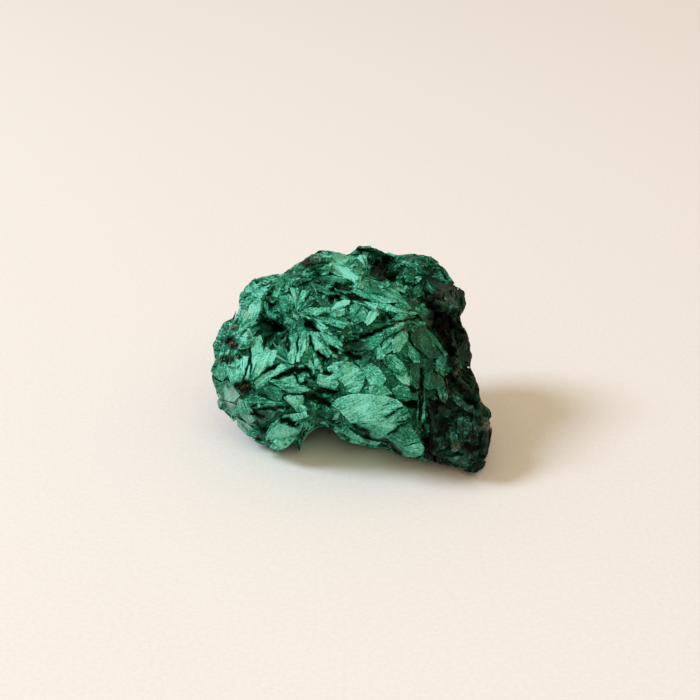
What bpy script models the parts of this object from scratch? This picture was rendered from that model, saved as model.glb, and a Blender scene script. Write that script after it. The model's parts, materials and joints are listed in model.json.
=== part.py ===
"""Malachite specimen: one broken lump of fibrous malachite, resting on its foot, corner and heel.

Units are metres and +Z is up. The stone is laid out on a front drawing: a grid of small squares
that leans back with the line of sight, seen from an eye point in front of the stone. A place on
the drawing is (squares across, squares down), and it lands where that line of sight meets stone.
"""

from math import atan2, cos, pi, radians, sin

import bmesh
import bpy
import numpy as np
from mathutils import Matrix, Vector, noise
from mathutils.bvhtree import BVHTree

for old_object in list(bpy.data.objects):
    bpy.data.objects.remove(old_object, do_unlink=True)

# ---------------------------------------------------------------- driving dimensions
MM = 0.001
STONE_WIDTH = 0.060
LAYOUT_SQUARES_WIDE = 283
SQUARE = STONE_WIDTH / LAYOUT_SQUARES_WIDE

LEAN = radians(25)
EYE_DISTANCE = 0.354
LAYOUT_CENTRE = (350, 357)
CENTRE = Vector((-0.0005, 0, 0.019))

RIGHT = Vector((1, 0, 0))
UPWARD = Vector((0, sin(LEAN), cos(LEAN)))
AWAY = Vector((0, cos(LEAN), -sin(LEAN)))
EYE = CENTRE - AWAY * EYE_DISTANCE

FRONT_BULGE = 0.0185
BACK_BULGE = 0.0195

# The rim of the stone on the front drawing: squares across, squares down, and how far that
# point lies behind the leaning drawing (in front of it where negative), in millimetres.
RIM = [
    (209, 371, 0), (215, 361, 0), (212, 346, 0), (223, 322, 1), (234, 319, 1), (238, 309, 2),
    (239, 293, 2), (253, 279, 3), (281, 274, 3), (301, 261, 4), (320, 250, 4), (345, 254, 6),
    (352, 254, 8), (358, 246, 10), (373, 246, 11), (385, 252, 11), (397, 255, 10), (430, 255, 9),
    (445, 267, 9), (455, 282, 9), (465, 292, 8), (467, 304, 8), (459, 318, 7), (466, 330, 6),
    (472, 356, 4), (471, 369, 3), (480, 388, 1), (481, 403, -1), (491, 410, -3), (492, 433, -4),
    (486, 467, -6), (480, 474, -6), (452, 469, -5), (430, 464, -4), (410, 461, -4), (387, 448, -3),
    (362, 446, -2), (336, 436, -1), (322, 426, 0), (306, 427, 1), (300, 438, 2), (298, 453, 2),
    (279, 455, 2), (262, 446, 1), (241, 432, 1), (229, 416, 1), (217, 408, 0), (215, 390, 0),
]
# How far the blades stand out beyond the lump at the rim, in squares.
RIM_SINK = 2
RIM_STEPS = 720
SOFT_SHARE = 0.14
NOTCH_FADE = 4
# How steeply the hills and hollows fade out towards the rim.
FORM_FADE = 3

# Hills and hollows of the front: squares across, squares down, reach in squares, height in mm.
FRONT_FORMS = {
    "left hollow": (268, 328, 15, -4.5),
    "slot above the knob": (264, 300, 6, -2.0),
    "pale knob": (248, 313, 9, 1.5),
    "pit of the lower rosette": (243, 388, 7, -2.0),
    "brown pit on the left edge": (230, 344, 7, -1.8),
    "crest": (320, 262, 22, 1.2),
    "top pocket": (382, 266, 12, -9.0),
    "valley head": (415, 288, 18, -5.0),
    "valley": (446, 326, 16, -9.0),
    "valley foot": (462, 372, 17, -4.5),
    "rear right lump": (452, 292, 14, 2.0),
    "rear lump": (428, 266, 12, 2.0),
    "ridge above the valley": (405, 312, 20, 3.0),
    "ridge edge": (436, 345, 12, 3.0),
    "lower right corner": (474, 436, 24, 4.5),
    "rough face": (446, 420, 18, -1.5),
    "front plate": (372, 408, 30, 3.0),
    "block below the plate": (408, 442, 15, 2.5),
    "lens under the ridge": (400, 372, 22, 1.5),
    "long crack": (362, 341, 10, -2.2),
    "crack heel": (322, 358, 8, -2.2),
    "left shoulder": (300, 288, 26, 1.5),
    "left flank": (252, 368, 24, 2.0),
    "recess under the middle": (318, 398, 12, -3.0),
    "foot": (282, 440, 13, 2.5),
}
BACK_FORMS = {
    "heel": (322, 412, 34, 6.0),
    "right heel": (420, 405, 32, 6.0),
    "upper back": (350, 285, 38, -4.0),
    "back shoulder": (262, 322, 24, 2.5),
    "right back shoulder": (440, 330, 24, 2.5),
    "back hollow": (360, 350, 18, -4.0),
}

# Hollows cut up into the underside, and the knobs that the stone stands on: middle and half
# sizes, in mm.
UNDERCUTS = {
    "arch": ((-7.4, -7.0, 0.0), (4.2, 11.0, 5.6)),
    "front gap": ((3.5, -11.0, -1.5), (10.0, 9.0, 4.4)),
    "belly": ((3.5, 1.0, -2.0), (24.0, 14.0, 5.2)),
    "left gap": ((-21.5, 4.0, -1.5), (9.0, 10.0, 5.0)),
    "back gap": ((-0.5, 19.0, -1.5), (26.0, 8.0, 5.0)),
    "right gap": ((29.5, 2.0, -1.5), (8.0, 9.0, 5.5)),
}
KNOBS = {
    "foot": ((-14.7, -6.6, 2.9), (3.5, 4.0, 3.4)),
    "foot root": ((-16.5, -3.0, 5.6), (4.0, 5.0, 4.0)),
    "corner": ((26.5, -10.8, 4.6), (3.0, 4.2, 5.4)),
    "heel": ((-5.5, 11.5, 4.2), (5.0, 4.5, 4.9)),
    "right heel": ((13.5, 12.0, 4.2), (5.0, 4.5, 4.9)),
}
EGG_SUBDIVISIONS = 3

GRAIN_SIZE = 0.0045
GRAIN_HEIGHT = 0.0007
# The joined stone is remeshed evenly, then cut down to flat facets, with somewhat more of them
# spent on the side that faces the eye.
VOXEL = 0.00035
FACETS = 9300
WELD = 0.00004
FRONT_GROUP = "front"
FRONT_FAVOUR = 0.00002
LUMP_SUBDIVISIONS = 7

# ---------------------------------------------------------------- blades
# Each fan: the place its blades spring from, then the tip and the tip's width of each blade, all
# in squares of the front drawing, and how far the tips stand proud of the stone, in millimetres.
FANS = {
    "left shoulder": ((255, 304), 0.9, [(241, 298, 8), (246, 288, 8), (255, 284, 8), (263, 289, 6)]),
    "slot": ((267, 303), 0.6, [(283, 290, 6), (274, 288, 5)]),
    "bowl": ((289, 310), 0.8, [(279, 298, 6), (285, 293, 6), (291, 297, 5)]),
    "high rosette": (
        (297, 311),
        0.9,
        [(293, 291, 5), (302, 289, 6), (311, 294, 6), (316, 301, 5), (325, 309, 9), (311, 322, 4)],
    ),
    "long blade": ((309, 315), 0.9, [(329, 331, 4), (322, 331, 4)]),
    "ragged fan": ((316, 313), 1.0, [(348, 313, 6), (349, 321, 7), (344, 328, 8), (334, 330, 7)]),
    "short bright blade": ((331, 309), 1.0, [(349, 299, 7)]),
    "top lamella": ((322, 263), 1.0, [(363, 271, 14)]),
    "upper lamellae": ((322, 272), 0.8, [(372, 281, 7), (352, 291, 7)]),
    "middle lamella": ((312, 281), 0.9, [(348, 299, 7)]),
    "high plate": ((352, 287), 1.3, [(392, 304, 16)]),
    "upper right lamellae": ((360, 272), 1.0, [(398, 286, 9), (403, 297, 9)]),
    "ridge lamellae": ((352, 299), 1.0, [(382, 312, 8), (416, 314, 8)]),
    "spikes": ((410, 313), 1.3, [(434, 310, 6)]),
    "small spike": ((399, 300), 1.0, [(412, 307, 5)]),
    "bulge": ((349, 303), 0.9, [(361, 324, 9), (375, 322, 10)]),
    "under the ridge": ((416, 316), 0.8, [(393, 322, 5), (384, 329, 6)]),
    "dark slab": ((417, 320), 1.4, [(441, 352, 20)]),
    "left lens": ((216, 363), 0.9, [(221, 341, 8)]),
    "left wedge": ((259, 327), 1.1, [(240, 329, 8), (238, 339, 9), (242, 347, 7)]),
    "leaf": ((251, 353), 1.1, [(260, 334, 8)]),
    "lower rosette": (
        (245, 384),
        1.3,
        [
            (230, 363, 9), (237, 358, 8), (245, 357, 6), (250, 365, 4), (256, 353, 8),
            (266, 350, 7), (275, 353, 8), (285, 366, 6), (294, 368, 5), (297, 380, 10),
            (309, 391, 8),
        ],
    ),
    "dark leaf": ((262, 387), 0.9, [(282, 400, 12)]),
    "pale rim": ((243, 402), 0.8, [(221, 389, 9), (219, 401, 8), (228, 410, 8), (243, 424, 8)]),
    "lower bands": ((240, 402), 0.9, [(288, 406, 10), (262, 418, 8)]),
    "small fan": ((297, 414), 1.2, [(285, 397, 7), (293, 394, 7), (301, 395, 7), (305, 404, 6)]),
    "strut": ((262, 437), 0.8, [(281, 420, 5), (297, 416, 4)]),
    "foot facets": ((281, 428), 0.7, [(272, 443, 8), (282, 451, 9), (291, 449, 8), (297, 442, 5)]),
    "centre fan": (
        (300, 326),
        1.2,
        [(283, 347, 6), (287, 364, 7), (294, 366, 6), (299, 363, 5), (305, 355, 5), (310, 352, 5)],
    ),
    "centre leaves": ((311, 332), 1.1, [(319, 352, 8), (328, 357, 9), (330, 347, 6)]),
    "ragged leaves": ((328, 330), 1.0, [(346, 341, 9), (342, 352, 8), (335, 358, 8)]),
    "small leaf": ((309, 361), 0.9, [(311, 377, 7)]),
    "slant fan": ((294, 366), 0.9, [(297, 382, 7), (304, 384, 6), (308, 376, 5)]),
    "thin leaf": ((315, 350), 0.9, [(326, 374, 6), (320, 372, 5)]),
    "teal block": ((316, 377), 1.0, [(336, 384, 15)]),
    "crack lip": ((414, 320), 1.0, [(384, 334, 6), (352, 350, 7), (362, 354, 7)]),
    "centre plate": ((372, 374), 1.3, [(334, 372, 20), (346, 390, 14)]),
    "centre sweep": ((360, 368), 1.0, [(398, 384, 14), (392, 394, 10)]),
    "front plate": ((336, 407), 1.3, [(404, 388, 18), (407, 401, 20), (402, 415, 18)]),
    "plate foot": ((350, 420), 1.0, [(408, 422, 14), (392, 436, 16)]),
    "block": ((412, 424), 1.2, [(397, 448, 16), (410, 454, 18), (422, 450, 14)]),
    "right fan": ((409, 328), 1.0, [(391, 340, 6), (384, 346, 6), (398, 350, 8), (413, 352, 7)]),
    "right sweep": (
        (378, 344),
        1.0,
        [(384, 363, 8), (396, 368, 8), (409, 378, 10), (404, 392, 10)],
    ),
    "band by the seam": ((394, 396), 0.9, [(419, 399, 9), (416, 384, 8)]),
    "seam": ((424, 370), 1.0, [(421, 400, 5), (423, 432, 5)]),
    "rough face high": ((428, 358), 1.0, [(437, 378, 7), (449, 390, 7), (440, 400, 6)]),
    "rough face low": ((432, 402), 1.0, [(448, 418, 8), (444, 440, 8), (434, 452, 7)]),
    "corner": ((462, 420), 1.0, [(484, 412, 9), (488, 432, 9), (482, 456, 9), (464, 452, 8)]),
    "corner shelf": ((446, 448), 0.8, [(468, 462, 6), (440, 458, 5)]),
    "dark recess": ((303, 390), 0.8, [(338, 399, 10), (334, 412, 9), (316, 410, 7)]),
    "underside ledge": ((318, 419), 0.8, [(340, 431, 7), (352, 430, 6)]),
    "ledge below the plate": ((347, 430), 0.8, [(370, 444, 8), (386, 442, 5)]),
    "rear lump": ((420, 272), 0.9, [(418, 258, 7), (430, 259, 8), (440, 270, 7)]),
    "rear right lump": ((440, 297), 1.0, [(449, 286, 8), (460, 294, 8), (460, 303, 7), (446, 280, 7)]),
    "rear ridge": ((360, 254), 0.8, [(384, 254, 6), (396, 261, 6)]),
    "right edge": ((456, 330), 0.8, [(464, 342, 7), (467, 360, 7)]),
    "right edge low": ((462, 374), 0.8, [(476, 388, 8), (474, 402, 8)]),
}

# Rosettes over the whole stone, spread evenly and then nudged: those that face the eye are
# left to the fans above. The reach is a blade's length.
ROSETTE_COUNT = 84
ROSETTE_NUDGE = 0.35
ROSETTE_BLADES = (7, 9)
ROSETTE_REACH = (0.0055, 0.0115)
ROSETTE_TIP_WIDTH = (0.0030, 0.0056)
ROSETTE_LIFT = (0.0004, 0.0012)
EYE_SIDE = 0.30
SEED = 7

BLADE_ROOT_SHARE = 0.30
GROOVE_DEPTH = 0.0008
ROOF_SLOPE = 0.40
ROOT_HEIGHT_SHARE = 0.15
BLADE_DEPTH_RANGE = 0.0035
LEAST_FACING = 0.2

WEDGE_LEAST_WIDTH = 8
WEDGE_SIDES = 6
WEDGE_THICKNESS_SHARE = 0.38
WEDGE_LEAST_THICKNESS = 0.0013
ROOT_SINK = 0.0008
BURIED_SHARE = 0.28
RISE_CHECKS = (0.3, 0.5, 0.7, 0.9)
RISE_SEARCH = 0.010
RISE_SHARE = 0.8
MOST_RISE_SHARE = 0.35

FLOOR_CUT = 0.010

COLOUR = (0.045, 0.33, 0.20, 1)


# ---------------------------------------------------------------- the lump under the blades
def sight_point(across, down, depth):
    """The point that shows at a place of the front drawing, a depth behind the drawing."""
    flat = (
        CENTRE
        + RIGHT * ((across - LAYOUT_CENTRE[0]) * SQUARE)
        + UPWARD * ((LAYOUT_CENTRE[1] - down) * SQUARE)
    )
    return EYE + (flat - EYE) * ((EYE_DISTANCE + depth) / EYE_DISTANCE)


def rim_reader():
    """A function that gives the rim's radius in squares and its depth, at any angle.

    Inside the rim both fade to their average over the neighbouring angles, so that the
    outline's notches don't run across the stone as spokes.
    """
    rim = np.array(RIM, dtype=float)
    du = rim[:, 0] - LAYOUT_CENTRE[0]
    dv = LAYOUT_CENTRE[1] - rim[:, 1]
    angles = np.arctan2(dv, du)
    order = np.argsort(angles)
    steps = np.linspace(-pi, pi, RIM_STEPS, endpoint=False)
    window = np.hanning(int(RIM_STEPS * SOFT_SHARE) * 2 + 1)
    window /= window.sum()
    tables = []
    for values in (np.hypot(du, dv) - RIM_SINK, rim[:, 2] * MM):
        exact = np.interp(steps, angles[order], values[order], period=2 * pi)
        around = np.concatenate((exact, exact, exact))
        soft = np.convolve(around, window, mode="same")[RIM_STEPS : 2 * RIM_STEPS]
        tables.append((exact, soft))

    def read(angle, inside):
        keep = inside**NOTCH_FADE
        found = []
        for exact, soft in tables:
            table = soft + (exact - soft) * keep
            found.append(float(np.interp(angle, steps, table, period=2 * pi)))
        return found

    return read


def form_height(forms, across, down):
    """The height that a set of hills and hollows adds at a place of the drawing."""
    height = 0
    for x, y, reach, top in forms.values():
        height += top * MM * np.exp(-((across - x) ** 2 + (down - y) ** 2) / reach**2)
    return height


def shaped(direction, read_rim):
    """Where a point of the unit ball goes on the lump. The ball's +Z points away from the eye."""
    angle = atan2(direction.y, direction.x)
    inside = (direction.x**2 + direction.y**2) ** 0.5
    radius, rim_depth = read_rim(angle, inside)
    across = LAYOUT_CENTRE[0] + radius * inside * cos(angle)
    down = LAYOUT_CENTRE[1] - radius * inside * sin(angle)
    fade = min(1.0, abs(direction.z) * FORM_FADE)
    depth = rim_depth * inside**2
    if direction.z > 0:
        depth += BACK_BULGE * direction.z + form_height(BACK_FORMS, across, down) * fade
    else:
        depth += FRONT_BULGE * direction.z - form_height(FRONT_FORMS, across, down) * fade
    return sight_point(across, down, depth)


def lump_form(bm):
    read_rim = rim_reader()
    bmesh.ops.create_icosphere(bm, subdivisions=LUMP_SUBDIVISIONS, radius=1)
    for vert in bm.verts:
        vert.co = shaped(vert.co.copy(), read_rim)
    bmesh.ops.reverse_faces(bm, faces=bm.faces)
    bm.normal_update()
    moves = [v.normal * noise.noise(v.co / GRAIN_SIZE) * GRAIN_HEIGHT for v in bm.verts]
    for vert, move in zip(bm.verts, moves):
        vert.co += move


def egg_form(middle, half_sizes):
    """An egg-shaped ball."""

    def form(bm):
        stretch = Matrix.Diagonal([half * MM for half in half_sizes] + [1])
        bmesh.ops.create_icosphere(
            bm,
            subdivisions=EGG_SUBDIVISIONS,
            radius=1,
            matrix=Matrix.Translation(Vector(middle) * MM) @ stretch,
        )

    return form


def new_object(name, form, collection):
    mesh = bpy.data.meshes.new(name)
    bm = bmesh.new()
    form(bm)
    bm.to_mesh(mesh)
    bm.free()
    piece = bpy.data.objects.new(name, mesh)
    collection.objects.link(piece)
    return piece


def new_cutter(name, form, collection):
    cutter = new_object(name, form, collection)
    cutter.hide_render = True
    cutter.display_type = "WIRE"
    return cutter


# ---------------------------------------------------------------- blades that spring from it
class Blade:
    """A flat splinter that widens from its root to its tip and lies on the stone."""

    def __init__(self, root, tip, normal, width, lift):
        self.root = root
        self.tip = tip
        self.along = (tip - root).normalized()
        self.length = (tip - root).length
        self.sideways = self.along.cross(normal).normalized()
        self.outward = self.sideways.cross(self.along)
        self.width = width
        self.lift = lift


def meet_surface(tree, across, down):
    """Where the line of sight through a place of the drawing meets the stone, and the normal."""
    aim = (sight_point(across, down, 0) - EYE).normalized()
    place, normal, _, _ = tree.ray_cast(EYE, aim)
    if place is None:
        place, normal, _, _ = tree.find_nearest(sight_point(across, down, 0))
    return place, normal


def front_blades(tree):
    """The blades of the fans on the front drawing, narrow ones and wide ones apart."""
    narrow = []
    wide = []
    for root, lift, tips in FANS.values():
        root_place, root_normal = meet_surface(tree, *root)
        for across, down, width in tips:
            tip_place, tip_normal = meet_surface(tree, across, down)
            normal = (root_normal + tip_normal).normalized()
            blade = Blade(root_place, tip_place, normal, width * SQUARE, lift * MM)
            (wide if width >= WEDGE_LEAST_WIDTH else narrow).append(blade)
    return narrow, wide


def even_directions(count):
    """Directions spread evenly over the ball, along a spiral."""
    golden = pi * (3 - 5**0.5)
    for number in range(count):
        height = 1 - 2 * (number + 0.5) / count
        level = (1 - height**2) ** 0.5
        yield Vector((cos(golden * number) * level, sin(golden * number) * level, height))


def rosette_blades(tree):
    """Blades in rosettes on the sides, back, top and underside."""
    pick = np.random.default_rng(SEED)
    blades = []
    for direction in even_directions(ROSETTE_COUNT):
        nudge = Vector(pick.uniform(-1, 1, 3)) * ROSETTE_NUDGE
        facing = (direction + nudge * 0.5).normalized()
        count = int(pick.integers(*ROSETTE_BLADES))
        turn = pick.uniform(0, 2 * pi)
        reaches = pick.uniform(*ROSETTE_REACH, count)
        widths = pick.uniform(*ROSETTE_TIP_WIDTH, count)
        lifts = pick.uniform(*ROSETTE_LIFT, count)
        if facing.dot(-AWAY) > EYE_SIDE:
            continue
        root, normal, _, _ = tree.ray_cast(CENTRE + facing * STONE_WIDTH, -facing)
        first = normal.orthogonal().normalized()
        for number in range(count):
            swing = Matrix.Rotation(turn + 2 * pi * number / count, 3, normal)
            tip, tip_normal, _, _ = tree.find_nearest(root + swing @ first * reaches[number])
            blade_normal = (normal + tip_normal).normalized()
            blades.append(Blade(root, tip, blade_normal, widths[number], lifts[number]))
    return blades


def raise_blades(stone, blades):
    """Raises the lump's surface into blades, with grooves where no blade lies."""
    mesh = stone.data
    count = len(mesh.vertices)
    places = np.empty(count * 3)
    normals = np.empty(count * 3)
    mesh.vertices.foreach_get("co", places)
    mesh.vertices.foreach_get("normal", normals)
    places = places.reshape(-1, 3)
    normals = normals.reshape(-1, 3)
    height = np.full(count, -GROOVE_DEPTH)
    for blade in blades:
        offset = places - np.array(blade.root)
        run = offset @ np.array(blade.along) / blade.length
        half = blade.width / 2 * (BLADE_ROOT_SHARE + (1 - BLADE_ROOT_SHARE) * run.clip(0, 1))
        side = np.abs(offset @ np.array(blade.sideways)) / half
        deep = np.abs(offset @ np.array(blade.outward))
        facing = normals @ np.array(blade.outward)
        inside = (run > 0) & (run < 1) & (side < 1) & (deep < BLADE_DEPTH_RANGE) & (facing > LEAST_FACING)
        slope = ROOT_HEIGHT_SHARE + (1 - ROOT_HEIGHT_SHARE) * run
        raised = blade.lift * slope * (1 - ROOF_SLOPE * side)
        height = np.where(inside, np.maximum(height, raised), height)
    places += normals * height[:, None]
    mesh.vertices.foreach_set("co", places.ravel())
    mesh.update()


def rise_over(tree, blade):
    """How far the stone bulges above the straight line from a blade's root to its tip."""
    rise = 0
    for share in RISE_CHECKS:
        start = blade.root.lerp(blade.tip, share) + blade.outward * RISE_SEARCH
        place, _, _, _ = tree.ray_cast(start, -blade.outward)
        if place is not None:
            rise = max(rise, (place - blade.root).dot(blade.outward))
    return rise


def wedge_form(tree, blade):
    """A faceted wedge, narrow and sunk at its root, wide and proud at its tip."""
    _, root_normal, _, _ = tree.find_nearest(blade.root)
    towards_eye = max(0, -root_normal.dot(AWAY))
    rise = min(rise_over(tree, blade) * RISE_SHARE, blade.width * MOST_RISE_SHARE) * towards_eye
    start = blade.root + blade.outward * (rise - ROOT_SINK)
    end = blade.tip + blade.outward * (rise + blade.lift)
    along = (end - start).normalized()
    outward = blade.sideways.cross(along)
    thickness = max(blade.width * WEDGE_THICKNESS_SHARE, WEDGE_LEAST_THICKNESS)
    turn = Matrix((blade.sideways, outward, along)).transposed().to_4x4()
    stretch = Matrix.Diagonal((blade.width, thickness, (end - start).length, 1))
    middle = (start + end) / 2 - outward * thickness * BURIED_SHARE

    def form(bm):
        bmesh.ops.create_cone(
            bm,
            cap_ends=True,
            segments=WEDGE_SIDES,
            radius1=BLADE_ROOT_SHARE / 2,
            radius2=0.5,
            depth=1,
            matrix=Matrix.Translation(middle) @ turn @ stretch,
        )

    return form


def floor_form(bm):
    size = Matrix.Diagonal((STONE_WIDTH * 2, STONE_WIDTH * 2, FLOOR_CUT * 2, 1))
    bmesh.ops.create_cube(bm, size=1, matrix=Matrix.Translation((0, 0, -FLOOR_CUT)) @ size)


def malachite_material():
    material = bpy.data.materials.new("malachite")
    material.use_nodes = True
    shader = material.node_tree.nodes["Principled BSDF"]
    shader.inputs["Base Color"].default_value = COLOUR
    shader.inputs["Roughness"].default_value = 0.5
    shader.inputs["Metallic"].default_value = 0
    return material


def surface_tree(piece):
    """A search tree of a piece's evaluated surface."""
    bpy.context.view_layer.update()
    return BVHTree.FromObject(piece, bpy.context.evaluated_depsgraph_get())


def add_boolean(piece, name, operation, collection):
    """A Boolean modifier on a piece, by all the objects of a collection."""
    change = piece.modifiers.new(name, "BOOLEAN")
    change.operation = operation
    change.operand_type = "COLLECTION"
    change.collection = collection
    change.solver = "EXACT"
    change.use_self = True


def pinched_verts(bm):
    """The vertices where the stone touches itself, at a point or along a doubled edge."""
    pinched = {vert for vert in bm.verts if not vert.is_manifold}
    seen = set()
    for edge in bm.edges:
        ends = frozenset(edge.verts)
        if ends in seen:
            pinched.update(ends)
        seen.add(ends)
    return sorted(pinched, key=lambda vert: vert.index)


def open_pinches(bm):
    """Cuts the stone apart where it only just touches itself, and closes the holes left."""
    bmesh.ops.remove_doubles(bm, verts=bm.verts, dist=WELD)
    bmesh.ops.triangulate(bm, faces=bm.faces)
    pinched = pinched_verts(bm)
    while pinched:
        bmesh.ops.delete(bm, geom=pinched, context="VERTS")
        loose = [edge for edge in bm.edges if edge.is_wire]
        bmesh.ops.delete(bm, geom=loose, context="EDGES")
        open_edges = [edge for edge in bm.edges if edge.is_boundary]
        filled = bmesh.ops.holes_fill(bm, edges=open_edges)
        bmesh.ops.triangulate(bm, faces=filled["faces"])
        pinched = pinched_verts(bm)


def keep_biggest_shell(bm):
    """Leaves only the stone's outer shell, so that no pocket stays sealed inside it."""
    waiting = set(bm.faces)
    shells = []
    while waiting:
        shell = []
        front = [waiting.pop()]
        while front:
            face = front.pop()
            shell.append(face)
            for edge in face.edges:
                for other in edge.link_faces:
                    if other in waiting:
                        waiting.remove(other)
                        front.append(other)
        shells.append(shell)
    shells.sort(key=len)
    for shell in shells[:-1]:
        bmesh.ops.delete(bm, geom=shell, context="FACES")


def settle(stone):
    """Turns the modifiers so far into one plain closed mesh."""
    bpy.context.view_layer.update()
    graph = bpy.context.evaluated_depsgraph_get()
    mesh = bpy.data.meshes.new_from_object(stone.evaluated_get(graph), depsgraph=graph)
    bm = bmesh.new()
    bm.from_mesh(mesh)
    open_pinches(bm)
    keep_biggest_shell(bm)
    bm.to_mesh(mesh)
    bm.free()
    stone.modifiers.clear()
    stone.data = mesh
    mesh.name = stone.name


def favour_front(stone):
    """A vertex group that spends more of the facets on the side that faces the eye."""
    group = stone.vertex_groups.new(name=FRONT_GROUP)
    for vert in stone.data.vertices:
        facing = max(0, -vert.normal.dot(AWAY))
        group.add([vert.index], 1 - facing / 2, "REPLACE")
    return group.name


def new_collection(name):
    collection = bpy.data.collections.new(name)
    bpy.context.scene.collection.children.link(collection)
    return collection


def build():
    stone_collection = new_collection("malachite_specimen")
    growth_collection = new_collection("wedges and knobs")
    hollow_collection = new_collection("hollows")
    floor_collection = new_collection("floor")

    stone = new_object("malachite_specimen", lump_form, stone_collection)
    stone.data.materials.append(malachite_material())
    tree = surface_tree(stone)
    narrow, wide = front_blades(tree)
    raise_blades(stone, rosette_blades(tree) + narrow)

    for number, blade in enumerate(wide):
        new_cutter(f"wedge {number}", wedge_form(tree, blade), growth_collection)
    for name, knob in KNOBS.items():
        new_cutter(name, egg_form(*knob), growth_collection)
    for name, hollow in UNDERCUTS.items():
        new_cutter(name, egg_form(*hollow), hollow_collection)
    add_boolean(stone, "hollows", "DIFFERENCE", hollow_collection)
    add_boolean(stone, "wedges and knobs", "UNION", growth_collection)
    even = stone.modifiers.new("even", "REMESH")
    even.mode = "VOXEL"
    even.voxel_size = VOXEL
    settle(stone)

    facets = stone.modifiers.new("facets", "DECIMATE")
    facets.ratio = FACETS / (2 * len(stone.data.polygons))
    facets.vertex_group = favour_front(stone)
    facets.vertex_group_factor = FRONT_FAVOUR
    new_cutter("floor", floor_form, floor_collection)
    add_boolean(stone, "floor", "DIFFERENCE", floor_collection)
    settle(stone)


build()
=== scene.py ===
# %% [markdown]
# # A malachite specimen
# Malachite often grows as sprays of flat green fibres that spread from a point, and many sprays
# grown into each other make a lump like this one. Here the lump is made first, as one smooth
# form with hollows and cracks. The sprays are then laid on it blade by blade, and a dark crumbly
# crust covers the right end. One lump with many small blades on it was chosen over a sculpted
# block, because light catches every blade at its own angle, and that is what makes fibrous
# malachite look silky.

import json
from math import cos, pi, radians, sin

import bmesh
import bpy
import numpy as np
from mathutils import Matrix, Vector, noise
from mathutils.bvhtree import BVHTree

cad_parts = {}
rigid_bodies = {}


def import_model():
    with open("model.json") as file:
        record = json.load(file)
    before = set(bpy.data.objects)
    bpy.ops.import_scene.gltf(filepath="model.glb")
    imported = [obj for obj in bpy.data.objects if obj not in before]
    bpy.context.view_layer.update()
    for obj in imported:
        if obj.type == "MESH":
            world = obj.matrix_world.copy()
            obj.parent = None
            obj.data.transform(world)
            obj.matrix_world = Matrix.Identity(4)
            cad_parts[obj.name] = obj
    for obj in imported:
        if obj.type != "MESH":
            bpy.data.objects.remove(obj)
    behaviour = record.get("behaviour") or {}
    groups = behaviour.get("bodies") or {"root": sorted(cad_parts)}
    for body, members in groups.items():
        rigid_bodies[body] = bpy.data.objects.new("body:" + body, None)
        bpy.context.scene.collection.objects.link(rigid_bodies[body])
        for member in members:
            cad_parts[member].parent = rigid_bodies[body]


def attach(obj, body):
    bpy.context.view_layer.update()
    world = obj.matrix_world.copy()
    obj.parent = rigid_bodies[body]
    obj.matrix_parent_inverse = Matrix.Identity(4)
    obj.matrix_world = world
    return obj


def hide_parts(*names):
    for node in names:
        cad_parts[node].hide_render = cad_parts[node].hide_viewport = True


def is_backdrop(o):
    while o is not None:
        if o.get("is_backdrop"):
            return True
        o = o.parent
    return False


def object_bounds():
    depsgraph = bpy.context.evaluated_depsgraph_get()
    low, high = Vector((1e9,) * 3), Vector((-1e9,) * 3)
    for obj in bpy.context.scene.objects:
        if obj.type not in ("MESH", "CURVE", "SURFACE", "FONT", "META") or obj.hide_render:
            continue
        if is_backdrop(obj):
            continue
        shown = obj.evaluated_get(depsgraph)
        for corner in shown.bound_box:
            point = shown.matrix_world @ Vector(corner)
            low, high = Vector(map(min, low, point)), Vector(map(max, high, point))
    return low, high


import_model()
cad_low, cad_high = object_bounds()
print("solid model, in mm:", [round(side * 1000, 1) for side in cad_high - cad_low])

# %% [markdown]
# ## The front drawing
# The stone is laid out on a front drawing, a grid of small squares that leans back with the line
# of sight. A place on it is squares across and squares down. The same grid carries the outline,
# the hollows and the root and tips of every spray, so all of them meet at the right place.

# %% The drawing's size and its eye point
MM = 0.001
STONE_WIDTH = 0.060
LAYOUT_SQUARES_WIDE = 283
SQUARE = STONE_WIDTH / LAYOUT_SQUARES_WIDE
LEAN = radians(25)
EYE_DISTANCE = 0.354
LAYOUT_CENTRE = np.array((350.0, 357.0))
CENTRE = np.array((-0.0005, 0.0, 0.019))
RIGHT = np.array((1.0, 0.0, 0.0))
UPWARD = np.array((0.0, sin(LEAN), cos(LEAN)))
AWAY = np.array((0.0, cos(LEAN), -sin(LEAN)))
EYE = CENTRE - AWAY * EYE_DISTANCE


def sight_points(across, down, depth):
    """The points that show at places of the drawing, at depths behind it."""
    sideways = (np.asarray(across, float) - LAYOUT_CENTRE[0]) * SQUARE
    rise = (LAYOUT_CENTRE[1] - np.asarray(down, float)) * SQUARE
    flat = CENTRE + np.multiply.outer(sideways, RIGHT) + np.multiply.outer(rise, UPWARD)
    stretch = (EYE_DISTANCE + np.asarray(depth, float)) / EYE_DISTANCE
    return EYE + (flat - EYE) * np.asarray(stretch)[..., None]


def on_drawing(points):
    """Where points show on the drawing: squares across and squares down."""
    offset = points - EYE
    shrink = EYE_DISTANCE / (offset @ AWAY) / SQUARE
    return LAYOUT_CENTRE[0] + offset @ RIGHT * shrink, LAYOUT_CENTRE[1] - offset @ UPWARD * shrink


print("one square of the drawing is", round(SQUARE * 1000, 3), "mm")

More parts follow.
